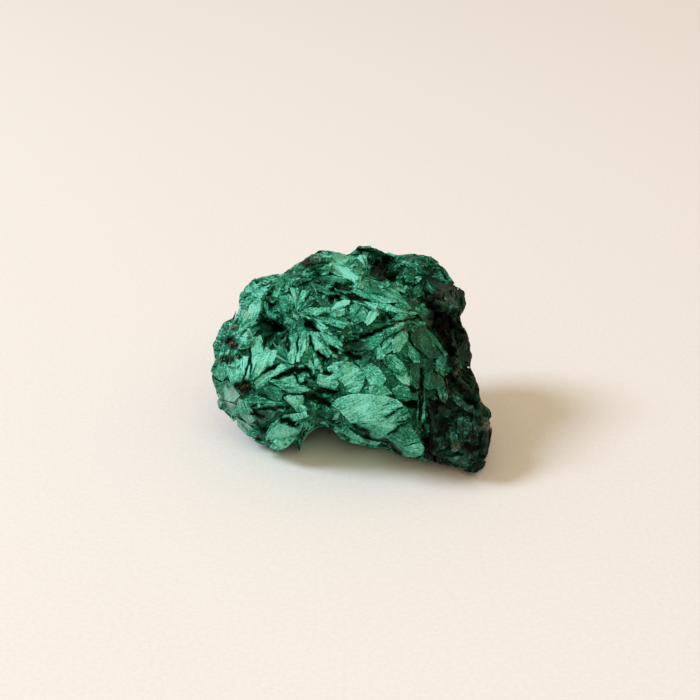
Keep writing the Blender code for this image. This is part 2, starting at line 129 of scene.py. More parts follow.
# %% The outline, and the hills and hollows of the lump
# Outline: squares across, squares down, and depth behind the drawing in mm.
RIM = [
    (209, 371, 0), (215, 361, 0), (212, 346, 0), (223, 322, 1), (234, 319, 1), (238, 309, 2),
    (239, 293, 2), (253, 279, 3), (281, 274, 3), (301, 261, 4), (320, 250, 4), (345, 254, 6),
    (352, 254, 8), (358, 246, 10), (373, 246, 11), (385, 252, 11), (397, 255, 10), (430, 255, 9),
    (445, 267, 9), (455, 282, 9), (465, 292, 8), (467, 304, 8), (459, 318, 7), (466, 330, 6),
    (472, 356, 4), (471, 369, 3), (480, 388, 1), (481, 403, -1), (491, 410, -3), (492, 433, -4),
    (486, 467, -6), (480, 474, -6), (452, 469, -5), (430, 464, -4), (410, 461, -4), (387, 448, -3),
    (362, 446, -2), (336, 436, -1), (322, 426, 0), (306, 427, 1), (300, 438, 2), (298, 453, 2),
    (279, 455, 2), (262, 446, 1), (241, 432, 1), (229, 416, 1), (217, 408, 0), (215, 390, 0),
]
RIM_SINK = 3.2
RIM_STEPS = 720
SOFT_SHARE = 0.14
NOTCH_FADE = 4
FORM_FADE = 3
FRONT_BULGE = 0.0185
BACK_BULGE = 0.0195

# Hills and hollows: squares across, squares down, reach in squares, height in mm.
FRONT_FORMS = {
    "left hollow": (268, 328, 15, -4.5),
    "bowl": (277, 328, 9, -2.5),
    "slot above the knob": (264, 300, 6, -2.0),
    "pale knob": (248, 313, 9, 1.5),
    "pit of the lower rosette": (243, 388, 7, -2.0),
    "brown pit on the left edge": (230, 344, 7, -1.8),
    "crest": (320, 262, 22, 1.2),
    "top pocket": (382, 266, 12, -9.0),
    "valley head": (415, 288, 18, -5.0),
    "valley": (446, 326, 16, -9.0),
    "valley foot": (462, 372, 17, -4.5),
    "rear right lump": (452, 292, 14, 2.0),
    "rear lump": (428, 266, 12, 2.0),
    "ridge above the valley": (405, 312, 20, 3.0),
    "ridge edge": (436, 345, 12, 3.0),
    "lower right corner": (474, 436, 24, 4.5),
    "rough face": (446, 420, 18, -1.5),
    "front plate": (372, 408, 30, 3.0),
    "block below the plate": (408, 442, 15, 2.5),
    "lens under the ridge": (400, 372, 22, 1.5),
    "long crack": (362, 341, 10, -2.2),
    "crack heel": (322, 358, 8, -2.2),
    "left shoulder": (300, 288, 26, 1.5),
    "left flank": (252, 368, 24, 2.0),
    "recess under the middle": (318, 398, 12, -3.0),
    "foot": (282, 440, 13, 2.5),
}
BACK_FORMS = {
    "heel": (322, 412, 34, 6.0),
    "right heel": (420, 405, 32, 6.0),
    "upper back": (350, 285, 38, -4.0),
    "back shoulder": (262, 322, 24, 2.5),
    "right back shoulder": (440, 330, 24, 2.5),
    "back hollow": (360, 350, 18, -4.0),
}


def form_height(forms, across, down):
    height = np.zeros_like(across)
    for x, y, reach, top in forms.values():
        height += top * MM * np.exp(-((across - x) ** 2 + (down - y) ** 2) / reach**2)
    return height


def read_rim(angle, inside):
    """The rim's radius in squares and its depth; both soften inside the rim."""
    rim = np.array(RIM, dtype=float)
    du = rim[:, 0] - LAYOUT_CENTRE[0]
    dv = LAYOUT_CENTRE[1] - rim[:, 1]
    angles = np.arctan2(dv, du)
    order = np.argsort(angles)
    steps = np.linspace(-pi, pi, RIM_STEPS, endpoint=False)
    window = np.hanning(int(RIM_STEPS * SOFT_SHARE) * 2 + 1)
    window /= window.sum()
    found = []
    for values in (np.hypot(du, dv) - RIM_SINK, rim[:, 2] * MM):
        exact = np.interp(steps, angles[order], values[order], period=2 * pi)
        around = np.concatenate((exact, exact, exact))
        soft = np.convolve(around, window, mode="same")[RIM_STEPS : 2 * RIM_STEPS]
        near = np.interp(angle, steps, exact, period=2 * pi)
        far = np.interp(angle, steps, soft, period=2 * pi)
        found.append(far + (near - far) * inside**NOTCH_FADE)
    return found


TRIM_EDGE = 0.0
TRIM_KEPT = 0.25


def past_outline(places):
    """How many squares past the outline places show, with their polar place on the drawing."""
    across, down = on_drawing(places)
    du, dv = across - LAYOUT_CENTRE[0], LAYOUT_CENTRE[1] - down
    radius = np.hypot(du, dv)
    rim = np.array(RIM, dtype=float)
    rim_du, rim_dv = rim[:, 0] - LAYOUT_CENTRE[0], LAYOUT_CENTRE[1] - rim[:, 1]
    angles = np.arctan2(rim_dv, rim_du)
    order = np.argsort(angles)
    reach = np.interp(
        np.arctan2(dv, du), angles[order], np.hypot(rim_du, rim_dv)[order], period=2 * pi
    )
    return radius - reach, radius, du, dv


ARCH_MIDDLE = (321.0, 453.0)
ARCH_HALF = (21.5, 26.5)


def in_arch(places):
    """How far inside the arch at the foot places show: 1 at its middle, 0 at its edge."""
    across, down = on_drawing(places)
    near = np.hypot((across - ARCH_MIDDLE[0]) / ARCH_HALF[0], (down - ARCH_MIDDLE[1]) / ARCH_HALF[1])
    return 1 - near


def clear_arch(places):
    """Whatever hangs into the arch is moved out to its edge."""
    inside = in_arch(places)
    across, down = on_drawing(places)
    stretch = np.where(inside > 0, 1 / np.maximum(1 - inside, 0.3), 1.0)
    depth = (places - EYE) @ AWAY - EYE_DISTANCE
    across = ARCH_MIDDLE[0] + (across - ARCH_MIDDLE[0]) * stretch
    down = ARCH_MIDDLE[1] + (down - ARCH_MIDDLE[1]) * stretch
    return np.where((inside > 0)[:, None], sight_points(across, down, depth), places)


def trim_to_outline(places):
    """Tips that would show past the outline are drawn back towards it."""
    excess, radius, du, dv = past_outline(places)
    spare = np.maximum(0, excess - TRIM_EDGE) * (1 - TRIM_KEPT)
    depth = (places - EYE) @ AWAY - EYE_DISTANCE
    share = (radius - spare) / radius
    return sight_points(LAYOUT_CENTRE[0] + du * share, LAYOUT_CENTRE[1] - dv * share, depth)


def shows_past(place, squares=2.0):
    spot = np.array([place])
    return float(past_outline(spot)[0][0]) > squares or float(in_arch(spot)[0]) > 0.02


# %% [markdown]
# ## The lump
# On the real stone this is the solid malachite between the sprays. A ball is pulled to the
# outline and pushed out and in by the hills and hollows. The hollows under it and the knobs that
# it stands on are cut and joined with Booleans, and a voxel remesh then makes one even skin that
# is fine enough to be moved by cracks and rock grain.

# %% Pull a ball to the outline
LUMP_SUBDIVISIONS = 7
GRAIN_SIZE = 0.0045
GRAIN_HEIGHT = 0.0007


def as_array(mesh, name, width=3):
    values = np.empty(len(mesh.vertices) * width, dtype=np.float32)
    mesh.vertices.foreach_get(name, values)
    return values.reshape(-1, width).astype(float)


def new_object(name, bm):
    mesh = bpy.data.meshes.new(name)
    bm.to_mesh(mesh)
    bm.free()
    piece = bpy.data.objects.new(name, mesh)
    bpy.context.scene.collection.objects.link(piece)
    return piece


def make_lump():
    bm = bmesh.new()
    bmesh.ops.create_icosphere(bm, subdivisions=LUMP_SUBDIVISIONS, radius=1)
    bmesh.ops.reverse_faces(bm, faces=bm.faces)
    lump = new_object("stone_body", bm)
    ball = as_array(lump.data, "co")
    inside = np.hypot(ball[:, 0], ball[:, 1])
    angle = np.arctan2(ball[:, 1], ball[:, 0])
    radius, rim_depth = read_rim(angle, inside)
    across = LAYOUT_CENTRE[0] + radius * inside * np.cos(angle)
    down = LAYOUT_CENTRE[1] - radius * inside * np.sin(angle)
    fade = np.minimum(1, np.abs(ball[:, 2]) * FORM_FADE)
    behind = ball[:, 2] > 0
    back = BACK_BULGE * ball[:, 2] + form_height(BACK_FORMS, across, down) * fade
    front = FRONT_BULGE * ball[:, 2] - form_height(FRONT_FORMS, across, down) * fade
    depth = rim_depth * inside**2 + np.where(behind, back, front)
    lump.data.vertices.foreach_set("co", sight_points(across, down, depth).ravel())
    lump.data.update()
    places = as_array(lump.data, "co")
    normals = as_array(lump.data, "normal")
    grain = np.array([noise.noise(Vector(place) / GRAIN_SIZE) for place in places])
    places += normals * (grain * GRAIN_HEIGHT)[:, None]
    lump.data.vertices.foreach_set("co", places.ravel())
    lump.data.update()
    return lump


body = make_lump()
lump_tree = BVHTree.FromObject(body, bpy.context.evaluated_depsgraph_get())
print("lump:", len(body.data.polygons), "faces")

# %% Hollows under it, and the knobs it stands on: middle and half sizes, in mm
UNDERCUTS = {
    "arch": ((-7.4, -7.0, 0.0), (4.2, 11.0, 5.6)),
    "front gap": ((3.5, -11.0, -1.5), (10.0, 9.0, 4.4)),
    "belly": ((3.5, 1.0, -2.0), (24.0, 14.0, 5.2)),
    "left gap": ((-21.5, 4.0, -1.5), (9.0, 10.0, 5.0)),
    "back gap": ((-0.5, 19.0, -1.5), (26.0, 8.0, 5.0)),
    "right gap": ((29.5, 2.0, -1.5), (8.0, 9.0, 5.5)),
}
KNOBS = {
    "foot": ((-14.7, -6.6, 2.9), (3.5, 4.0, 3.4)),
    "foot toe": ((-13.0, -9.0, 2.1), (2.3, 3.0, 2.2)),
    "foot root": ((-16.5, -3.0, 5.6), (4.0, 5.0, 4.0)),
    "corner": ((26.5, -10.8, 4.6), (3.0, 4.2, 5.4)),
    "heel": ((-5.5, 11.5, 4.2), (5.0, 4.5, 4.9)),
    "right heel": ((13.5, 12.0, 4.2), (5.0, 4.5, 4.9)),
}
VOXEL = 0.00036


def egg(name, middle, half_sizes):
    bm = bmesh.new()
    stretch = Matrix.Diagonal([half * MM for half in half_sizes] + [1])
    place = Matrix.Translation(Vector(middle) * MM) @ stretch
    bmesh.ops.create_icosphere(bm, subdivisions=4, radius=1, matrix=place)
    return new_object(name, bm)


def carve(piece, eggs, operation):
    for cutter in eggs:
        change = piece.modifiers.new(cutter.name, "BOOLEAN")
        change.operation = operation
        change.object = cutter


def settled(piece):
    """The piece with its modifiers turned into plain mesh."""
    graph = bpy.context.evaluated_depsgraph_get()
    mesh = bpy.data.meshes.new_from_object(piece.evaluated_get(graph), depsgraph=graph)
    piece.modifiers.clear()
    piece.data = mesh


hollows = [egg(name, *sizes) for name, sizes in UNDERCUTS.items()]
knobs = [egg(name, *sizes) for name, sizes in KNOBS.items()]
carve(body, hollows, "DIFFERENCE")
carve(body, knobs, "UNION")
even = body.modifiers.new("even skin", "REMESH")
even.mode = "VOXEL"
even.voxel_size = VOXEL
settled(body)
for egg_object in hollows + knobs:
    bpy.data.objects.remove(egg_object)
print("even skin:", len(body.data.polygons), "faces")

# %% [markdown]
# ## Cracks and rock grain
# Dark slots run between the sprays, and they draw the stone more than anything else does. Each is
# a short line on the drawing with a half width and a depth, and pushes the skin in along the
# line of sight; the marks further down also paint shade along each slot. Fractal noise then gives
# all of the skin a broken grain, coarser on the crust.

# %% The slots: from, to, half width in squares, depth in mm
SLOTS = {
    "bowl slot": ((254, 319), (272, 321), 1.9, 2.2),
    "bowl deep": ((270, 322), (281, 331), 4.0, 2.2),
    "bowl foot": ((262, 344), (272, 334), 2.4, 1.6),
    "over the knob": ((269, 304), (268, 291), 2.2, 1.6),
    "above the ragged fan": ((331, 288), (354, 282), 2.6, 1.6),
    "beside the long blade": ((330, 300), (340, 295), 2.2, 1.4),
    "below the lamellae": ((348, 296), (368, 300), 1.3, 1.2),
    "rosette gap": ((320, 315), (333, 315), 1.5, 1.5),
    "rosette foot": ((305, 323), (318, 329), 2.6, 1.6),
    "crack heel": ((317, 352), (326, 365), 2.6, 2.4),
    "leaf gap": ((331, 346), (338, 354), 1.7, 1.8),
    "leaf gap above": ((332, 332), (339, 336), 1.5, 1.6),
    "long crack left": ((343, 342), (366, 336), 1.9, 2.2),
    "long crack right": ((366, 336), (396, 323), 1.6, 1.9),
    "crack floor": ((345, 353), (360, 359), 2.6, 1.8),
    "leaf shade": ((262, 372), (276, 366), 1.8, 1.6),
    "lower rosette shade": ((272, 379), (293, 372), 1.7, 1.6),
    "under the bands": ((262, 409), (288, 408), 1.7, 1.4),
    "over the pale rim": ((250, 414), (263, 417), 1.8, 1.2),
    "beside the strut": ((281, 419), (296, 426), 3.0, 1.8),
    "over the block": ((404, 424), (389, 436), 1.1, 1.2),
    "seam slot": ((410, 388), (416, 391), 2.2, 1.4),
    "pocket": ((372, 262), (394, 278), 7.0, 3.0),
    "valley floor": ((433, 305), (446, 336), 7.0, 2.8),
    "valley side": ((446, 338), (454, 360), 3.5, 1.8),
    "under the spike": ((424, 300), (434, 305), 3.0, 1.8),
    "dark rim notch": ((466, 398), (474, 404), 3.0, 1.6),
    "dark by the seam": ((429, 402), (438, 406), 3.2, 1.8),
    "dark low": ((429, 436), (433, 452), 3.5, 1.8),
    "corner shade": ((466, 446), (478, 450), 3.0, 1.4),
    "brown crack": ((217, 360), (240, 357), 1.8, 1.3),
    "brown pit": ((226, 341), (236, 345), 4.0, 1.6),
    "rosette pit": ((237, 384), (251, 392), 5.0, 1.2),
    "below the middle": ((304, 396), (330, 404), 3.0, 1.6),
    "seam": ((423, 368), (421, 420), 1.8, 1.4),
    "left of the centre fan": ((283, 330), (289, 350), 2.6, 1.6),
    "under the centre fan": ((288, 370), (310, 371), 2.4, 1.5),
    "over the small leaf": ((306, 366), (314, 380), 2.0, 1.3),
    "plate lower edge": ((352, 425), (366, 431), 1.6, 1.4),
    "block edge": ((388, 441), (402, 456), 1.4, 1.4),
    "under the teal block": ((316, 392), (338, 392), 2.0, 1.4),
    "right of the bulge": ((378, 318), (392, 318), 2.0, 1.2),
    "crust rim": ((424, 425), (428, 455), 2.0, 1.0),
    "ridge underside": ((396, 322), (418, 317), 1.1, 1.2),
    "plate crack": ((403, 407), (384, 420), 0.9, 0.9),
    "gap below the plate": ((364, 430), (371, 439), 2.6, 2.0),
    "under the lower plate": ((371, 441), (388, 440), 1.3, 1.2),
    "right of the plate": ((406, 404), (417, 406), 2.6, 2.4),
    "left of the leaf": ((249, 348), (250, 372), 1.2, 1.2),
    "narrow gap": ((247, 364), (243, 378), 0.8, 0.9),
    "red crack": ((250, 407), (263, 404), 0.9, 0.9),
    "arm hollow": ((281, 421), (297, 425), 2.4, 2.0),
    "column gap": ((309, 336), (313, 349), 1.5, 1.6),
    "between the columns": ((297, 338), (297, 352), 0.9, 1.2),
    "long blade shade": ((305, 318), (316, 327), 1.8, 1.8),
    "lamella gap": ((348, 296), (364, 301), 1.5, 1.6),
    "dark eye": ((331, 295), (340, 299), 2.6, 1.4),
    "dark lamella": ((336, 283), (352, 288), 2.2, 1.2),
    "swirl": ((260, 312), (268, 311), 1.1, 1.0),
    "right of the ribs": ((409, 332), (413, 345), 1.2, 1.2),
    "slanted gap": ((293, 372), (298, 383), 1.0, 1.1),
    "under the leaves": ((299, 384), (306, 384), 1.2, 1.0),
    "over the teal block": ((323, 372), (332, 374), 1.2, 1.0),
    "left fold": ((272, 346), (282, 338), 1.4, 1.0),
}


SLOT_SWERVE = 0.55


def slot_depth(across, down):
    """How deep the slots are at places of the drawing, in mm, and how much painted shade they get (0
    to 1).
    """
    deep = np.zeros_like(across)
    dark = np.zeros_like(across)
    for (x0, y0), (x1, y1), half, depth in SLOTS.values():
        run = np.array((x1 - x0, y1 - y0), float)
        length = np.hypot(*run)
        share = ((across - x0) * run[0] + (down - y0) * run[1]) / (run @ run)
        share = share.clip(0, 1)
        swerve = np.sin(share * length * SLOT_SWERVE + x0) * half * 0.45
        beside = ((across - x0) * run[1] - (down - y0) * run[0]) / length - swerve
        beyond = np.hypot(across - x0 - share * run[0], down - y0 - share * run[1])
        beyond = np.sqrt(np.maximum(beyond**2 - (beside + swerve) ** 2, 0))
        wide = half * (0.55 + 0.45 * np.sin(pi * share))
        away = np.hypot(beside, beyond) / wide
        profile = np.exp(-(away**2))
        deep = np.maximum(deep, depth * profile)
        dark = np.maximum(dark, profile)
    return deep, dark


print(len(SLOTS), "slots")

# %% Where the crust, the dust and sheen, the stains, and the painted highlights and shade lie
# The crust's left edge on the drawing: squares down, squares across.
CRUST_EDGE = [(240, 468), (277, 458), (290, 430), (308, 424), (316, 434), (330, 434), (355, 448),
              (370, 442), (395, 436), (410, 427), (425, 423), (440, 424), (470, 428)]
CRUST_FADE = 5
# Pale patches, partly real dust and partly painted sheen on edges that face the light: squares across,
# squares down, reach in squares, strength.
PALE_DUST_AND_SHEEN = {
    "lower left": (228, 398, 15, 0.85),
    "lower rim": (244, 424, 13, 0.75),
    "knob": (248, 313, 9, 0.6),
    "crest": (315, 256, 15, 0.5),
    "shoulder": (300, 274, 14, 0.4),
    "back ridge": (365, 250, 12, 0.35),
    "lower plate": (382, 430, 18, 0.35),
}
GREY_CRUST = {
    "crest": (300, 264, 24, 0.75),
    "left rim": (236, 300, 14, 0.6),
    "left low rim": (226, 412, 16, 0.6),
    "upper right": (450, 294, 16, 0.80),
    "rear": (440, 262, 14, 0.4),
    "right rim": (474, 345, 9, 0.5),
    "low right rim": (492, 420, 10, 0.5),
    "low brown": (456, 448, 8, 0.5),
}
BROWN_STAINS = {
    "left edge": (233, 327, 4.0, 1.0),
    "left pit": (231, 344, 5, 0.7),
    "rosette eye": (241, 387, 3.5, 1.0),
    "rosette eye edge": (246, 386, 2.5, 0.8),
    "under the ridge": (398, 322, 3.0, 1.0),
    "ridge": (406, 328, 3.0, 0.9),
    "ridge top": (413, 301, 4, 0.6),
    "seam foot": (420, 431, 4, 0.7),
    "corner rim": (488, 428, 7, 0.7),
    "valley side": (458, 372, 6, 0.6),
    "low brown": (457, 448, 6, 0.7),
}
# Brown veins: from, to, half width in squares, strength.
BROWN_VEINS = {
    "seam": ((422, 366), (419, 384), 1.8, 0.46),
    "seam middle": ((419, 384), (423, 402), 2.1, 0.52),
    "seam low": ((423, 402), (421, 423), 2.2, 0.50),
    "vein": ((437, 368), (448, 384), 1.6, 0.55),
    "vein low": ((448, 384), (446, 403), 1.6, 0.55),
    "left crack": ((217, 361), (239, 357), 2.4, 0.85),
}
CRUST_PATCHES = {
    "crest": (305, 261, 13, 0.66),
    "crest left": (288, 272, 9, 0.56),
    "shoulder rim": (242, 297, 6, 0.5),
    "left low rim": (221, 408, 7, 0.45),
    "low rim": (248, 434, 7, 0.4),
}
# Lighter patches, partly paler stone and partly painted highlight where faces turn to the light:
# squares across, squares down, reach in squares, strength.
HIGHLIGHT_AND_PALE_SPOTS = {
    "left fan": (262, 366, 28, 0.22),
    "left wedge": (246, 334, 12, 0.06),
    "top lamella": (338, 264, 15, 0.26),
    "ragged fan": (340, 304, 12, 0.25),
    "bulge": (372, 316, 8, 0.25),
    "rib tips": (403, 340, 12, 0.22),
    "big plate": (364, 406, 22, 0.20),
    "plate tip": (338, 402, 8, 0.20),
    "centre plate": (352, 375, 16, 0.16),
    "block step": (413, 445, 9, 0.10),
    "foot": (284, 438, 18, 0.28),
    "centre fans": (310, 350, 24, 0.20),
    "knob": (247, 312, 9, 0.30),
    "top pocket edge": (398, 284, 12, 0.10),
    "under the plate": (380, 430, 22, 0.08),
    "ridge": (390, 332, 20, 0.10),
    "dark blob": (450, 300, 12, 0.50),
    "bowl": (315, 378, 14, 0.18),
    "low left": (233, 408, 14, 0.14),
    "low rim": (248, 428, 12, 0.18),
    "lower band": (356, 436, 15, 0.13),
    "shelf": (447, 362, 7, 0.10),
    "right ledge": (456, 398, 7, 0.22),
    "slab": (428, 338, 9, 0.14),
    "spike": (428, 312, 7, 0.20),
    "low face": (462, 425, 12, 0.10),
    "low edge": (455, 458, 9, 0.22),
    "lens": (402, 386, 10, 0.18),
}
# Darker patches, mostly painted shade in hollows, pockets, cracks and valleys and partly darker stone:
# squares across, squares down, reach in squares, strength.
SHADE_AND_DARK_SPOTS = {
    "left hollow": (275, 330, 10, 0.04),
    "pocket": (382, 270, 11, 0.32),
    "crack": (352, 345, 8, 0.20),
    "recess": (328, 396, 9, 0.16),
    "recess left": (312, 388, 7, 0.16),
    "rear lumps": (430, 272, 24, 0.28),
    "valley": (440, 322, 13, 0.35),
    "right of the seam": (434, 384, 13, 0.13),
    "seam side": (412, 400, 8, 0.25),
    "rosette eye": (242, 388, 6, 0.35),
    "foot side": (262, 420, 14, 0.20),
    "crest grey": (312, 260, 16, 0.22),
}


def spots(table, across, down):
    total = np.zeros_like(across)
    for x, y, reach, strength in table.values():
        near = np.exp(-((across - x) ** 2 + (down - y) ** 2) / reach**2)
        total = np.maximum(total, strength * near)
    return total


def veins(table, across, down):
    total = np.zeros_like(across)
    for (x0, y0), (x1, y1), half, strength in table.values():
        run_x, run_y = x1 - x0, y1 - y0
        share = ((across - x0) * run_x + (down - y0) * run_y) / (run_x**2 + run_y**2)
        share = share.clip(0, 1)
        away = np.hypot(across - x0 - share * run_x, down - y0 - share * run_y) / half
        total = np.maximum(total, strength * np.exp(-(away**2)))
    return total


def crust_share(places, facing):
    """How much dark crust there is: the right end, and patches at the back."""
    across, down = on_drawing(places)
    rows, edge = np.array(CRUST_EDGE, float).T
    in_front = 1 / (1 + np.exp(-(across - np.interp(down, rows, edge)) / CRUST_FADE))
    patches = np.array([noise.noise(Vector(place) / 0.012) for place in places])
    right_end = 1 / (1 + np.exp(-(places[:, 0] - 0.017) / 0.003))
    behind = np.maximum(right_end, 1 / (1 + np.exp(-(patches - 0.12) / 0.06)))
    in_front = np.maximum(in_front, spots(CRUST_PATCHES, across, down))
    return np.where(facing > 0, in_front, behind)


# %% Press the slots in and give the skin its grain
SKIN_SINK = 0.00065
CHIP_SIZE = 0.0016
CHIP_HEIGHT = 0.00045
CRUST_CHIP_HEIGHT = 0.0010
FACING_EDGE = 0.12


def fractal(places, size, octaves=3):
    total = np.zeros(len(places))
    for octave in range(octaves):
        step = size / 2**octave
        total += np.array([noise.noise(Vector(place) / step) for place in places]) / 2**octave
    return total


places = as_array(body.data, "co")
normals = as_array(body.data, "normal")
facing = normals @ -AWAY
across, down = on_drawing(places)
deep, slot_painted_shade = slot_depth(across, down)
front = np.clip(facing / FACING_EDGE, 0, 1)
crust = crust_share(places, facing)
chips = fractal(places, CHIP_SIZE)
height = CHIP_HEIGHT + (CRUST_CHIP_HEIGHT - CHIP_HEIGHT) * crust
moves = normals * (chips * height - SKIN_SINK)[:, None]
moves += AWAY * (deep * front * MM)[:, None]
places += moves
places = clear_arch(trim_to_outline(places))
places[:, 2] = np.maximum(places[:, 2], cad_low.z)
body.data.vertices.foreach_set("co", places.ravel())
body.data.update()
body_tree = BVHTree.FromObject(body, bpy.context.evaluated_depsgraph_get())
print("skin grain pressed in; deepest slot", round(float(deep.max()), 2), "mm")

# %% Marks that the finishes read
LIGHT_MIDDLE = 0.56
# Painted shade on the skin, which lies in the gaps below the blades.
SKIN_PAINTED_SHADE = 0.20
# Painted shade along the slots, taken off the lightness.
SLOT_PAINTED_SHADE = 0.66


def marks(places, facing):
    """Crust, pale dust and painted sheen, brown stain, and lightness with painted highlights and
    shade.
    """
    across, down = on_drawing(places)
    front = np.clip(facing / FACING_EDGE, 0, 1)
    _, slot_shade_share = slot_depth(across, down)
    # The lightness: a middle value, plus paler stone and painted highlight, less darker stone, painted
    # shade in hollows and painted shade along the slots.
    light = LIGHT_MIDDLE + front * (
        spots(HIGHLIGHT_AND_PALE_SPOTS, across, down) - spots(SHADE_AND_DARK_SPOTS, across, down) - SLOT_PAINTED_SHADE * slot_shade_share
    )
    return {
        "crust": crust_share(places, facing),
        "dust_and_sheen": spots(PALE_DUST_AND_SHEEN, across, down) * front,
        "grey": np.where(facing > 0, spots(GREY_CRUST, across, down), 0.35),
        "stain": np.maximum(
            spots(BROWN_STAINS, across, down), veins(BROWN_VEINS, across, down)
        ) * front,
        "light": light.clip(0, 1),
    }


def store(mesh, values):
    for name, numbers in values.items():
        flat = np.ascontiguousarray(numbers, dtype=np.float32)
        if flat.ndim == 2:
            layer = mesh.attributes.new(name, "FLOAT_VECTOR", "POINT")
            layer.data.foreach_set("vector", flat.ravel())
        else:
            layer = mesh.attributes.new(name, "FLOAT", "POINT")
            layer.data.foreach_set("value", flat)


skin_marks = marks(places, facing)
# The skin lies in the gaps below the blades, so it gets painted shade.
skin_marks["light"] = (skin_marks["light"] - SKIN_PAINTED_SHADE).clip(0, 1)
store(body.data, skin_marks)
print("marks stored on", len(places), "points")

# %% [markdown]
# ## The sprays
# Each spray has a root, where its blades spring from, and the tips that its blades reach. The
# list is read off the stone. A blade is laid on the skin between the two as a bundle of
# thin splinters side by side, because the real blades are bundles too, and split at their tips.

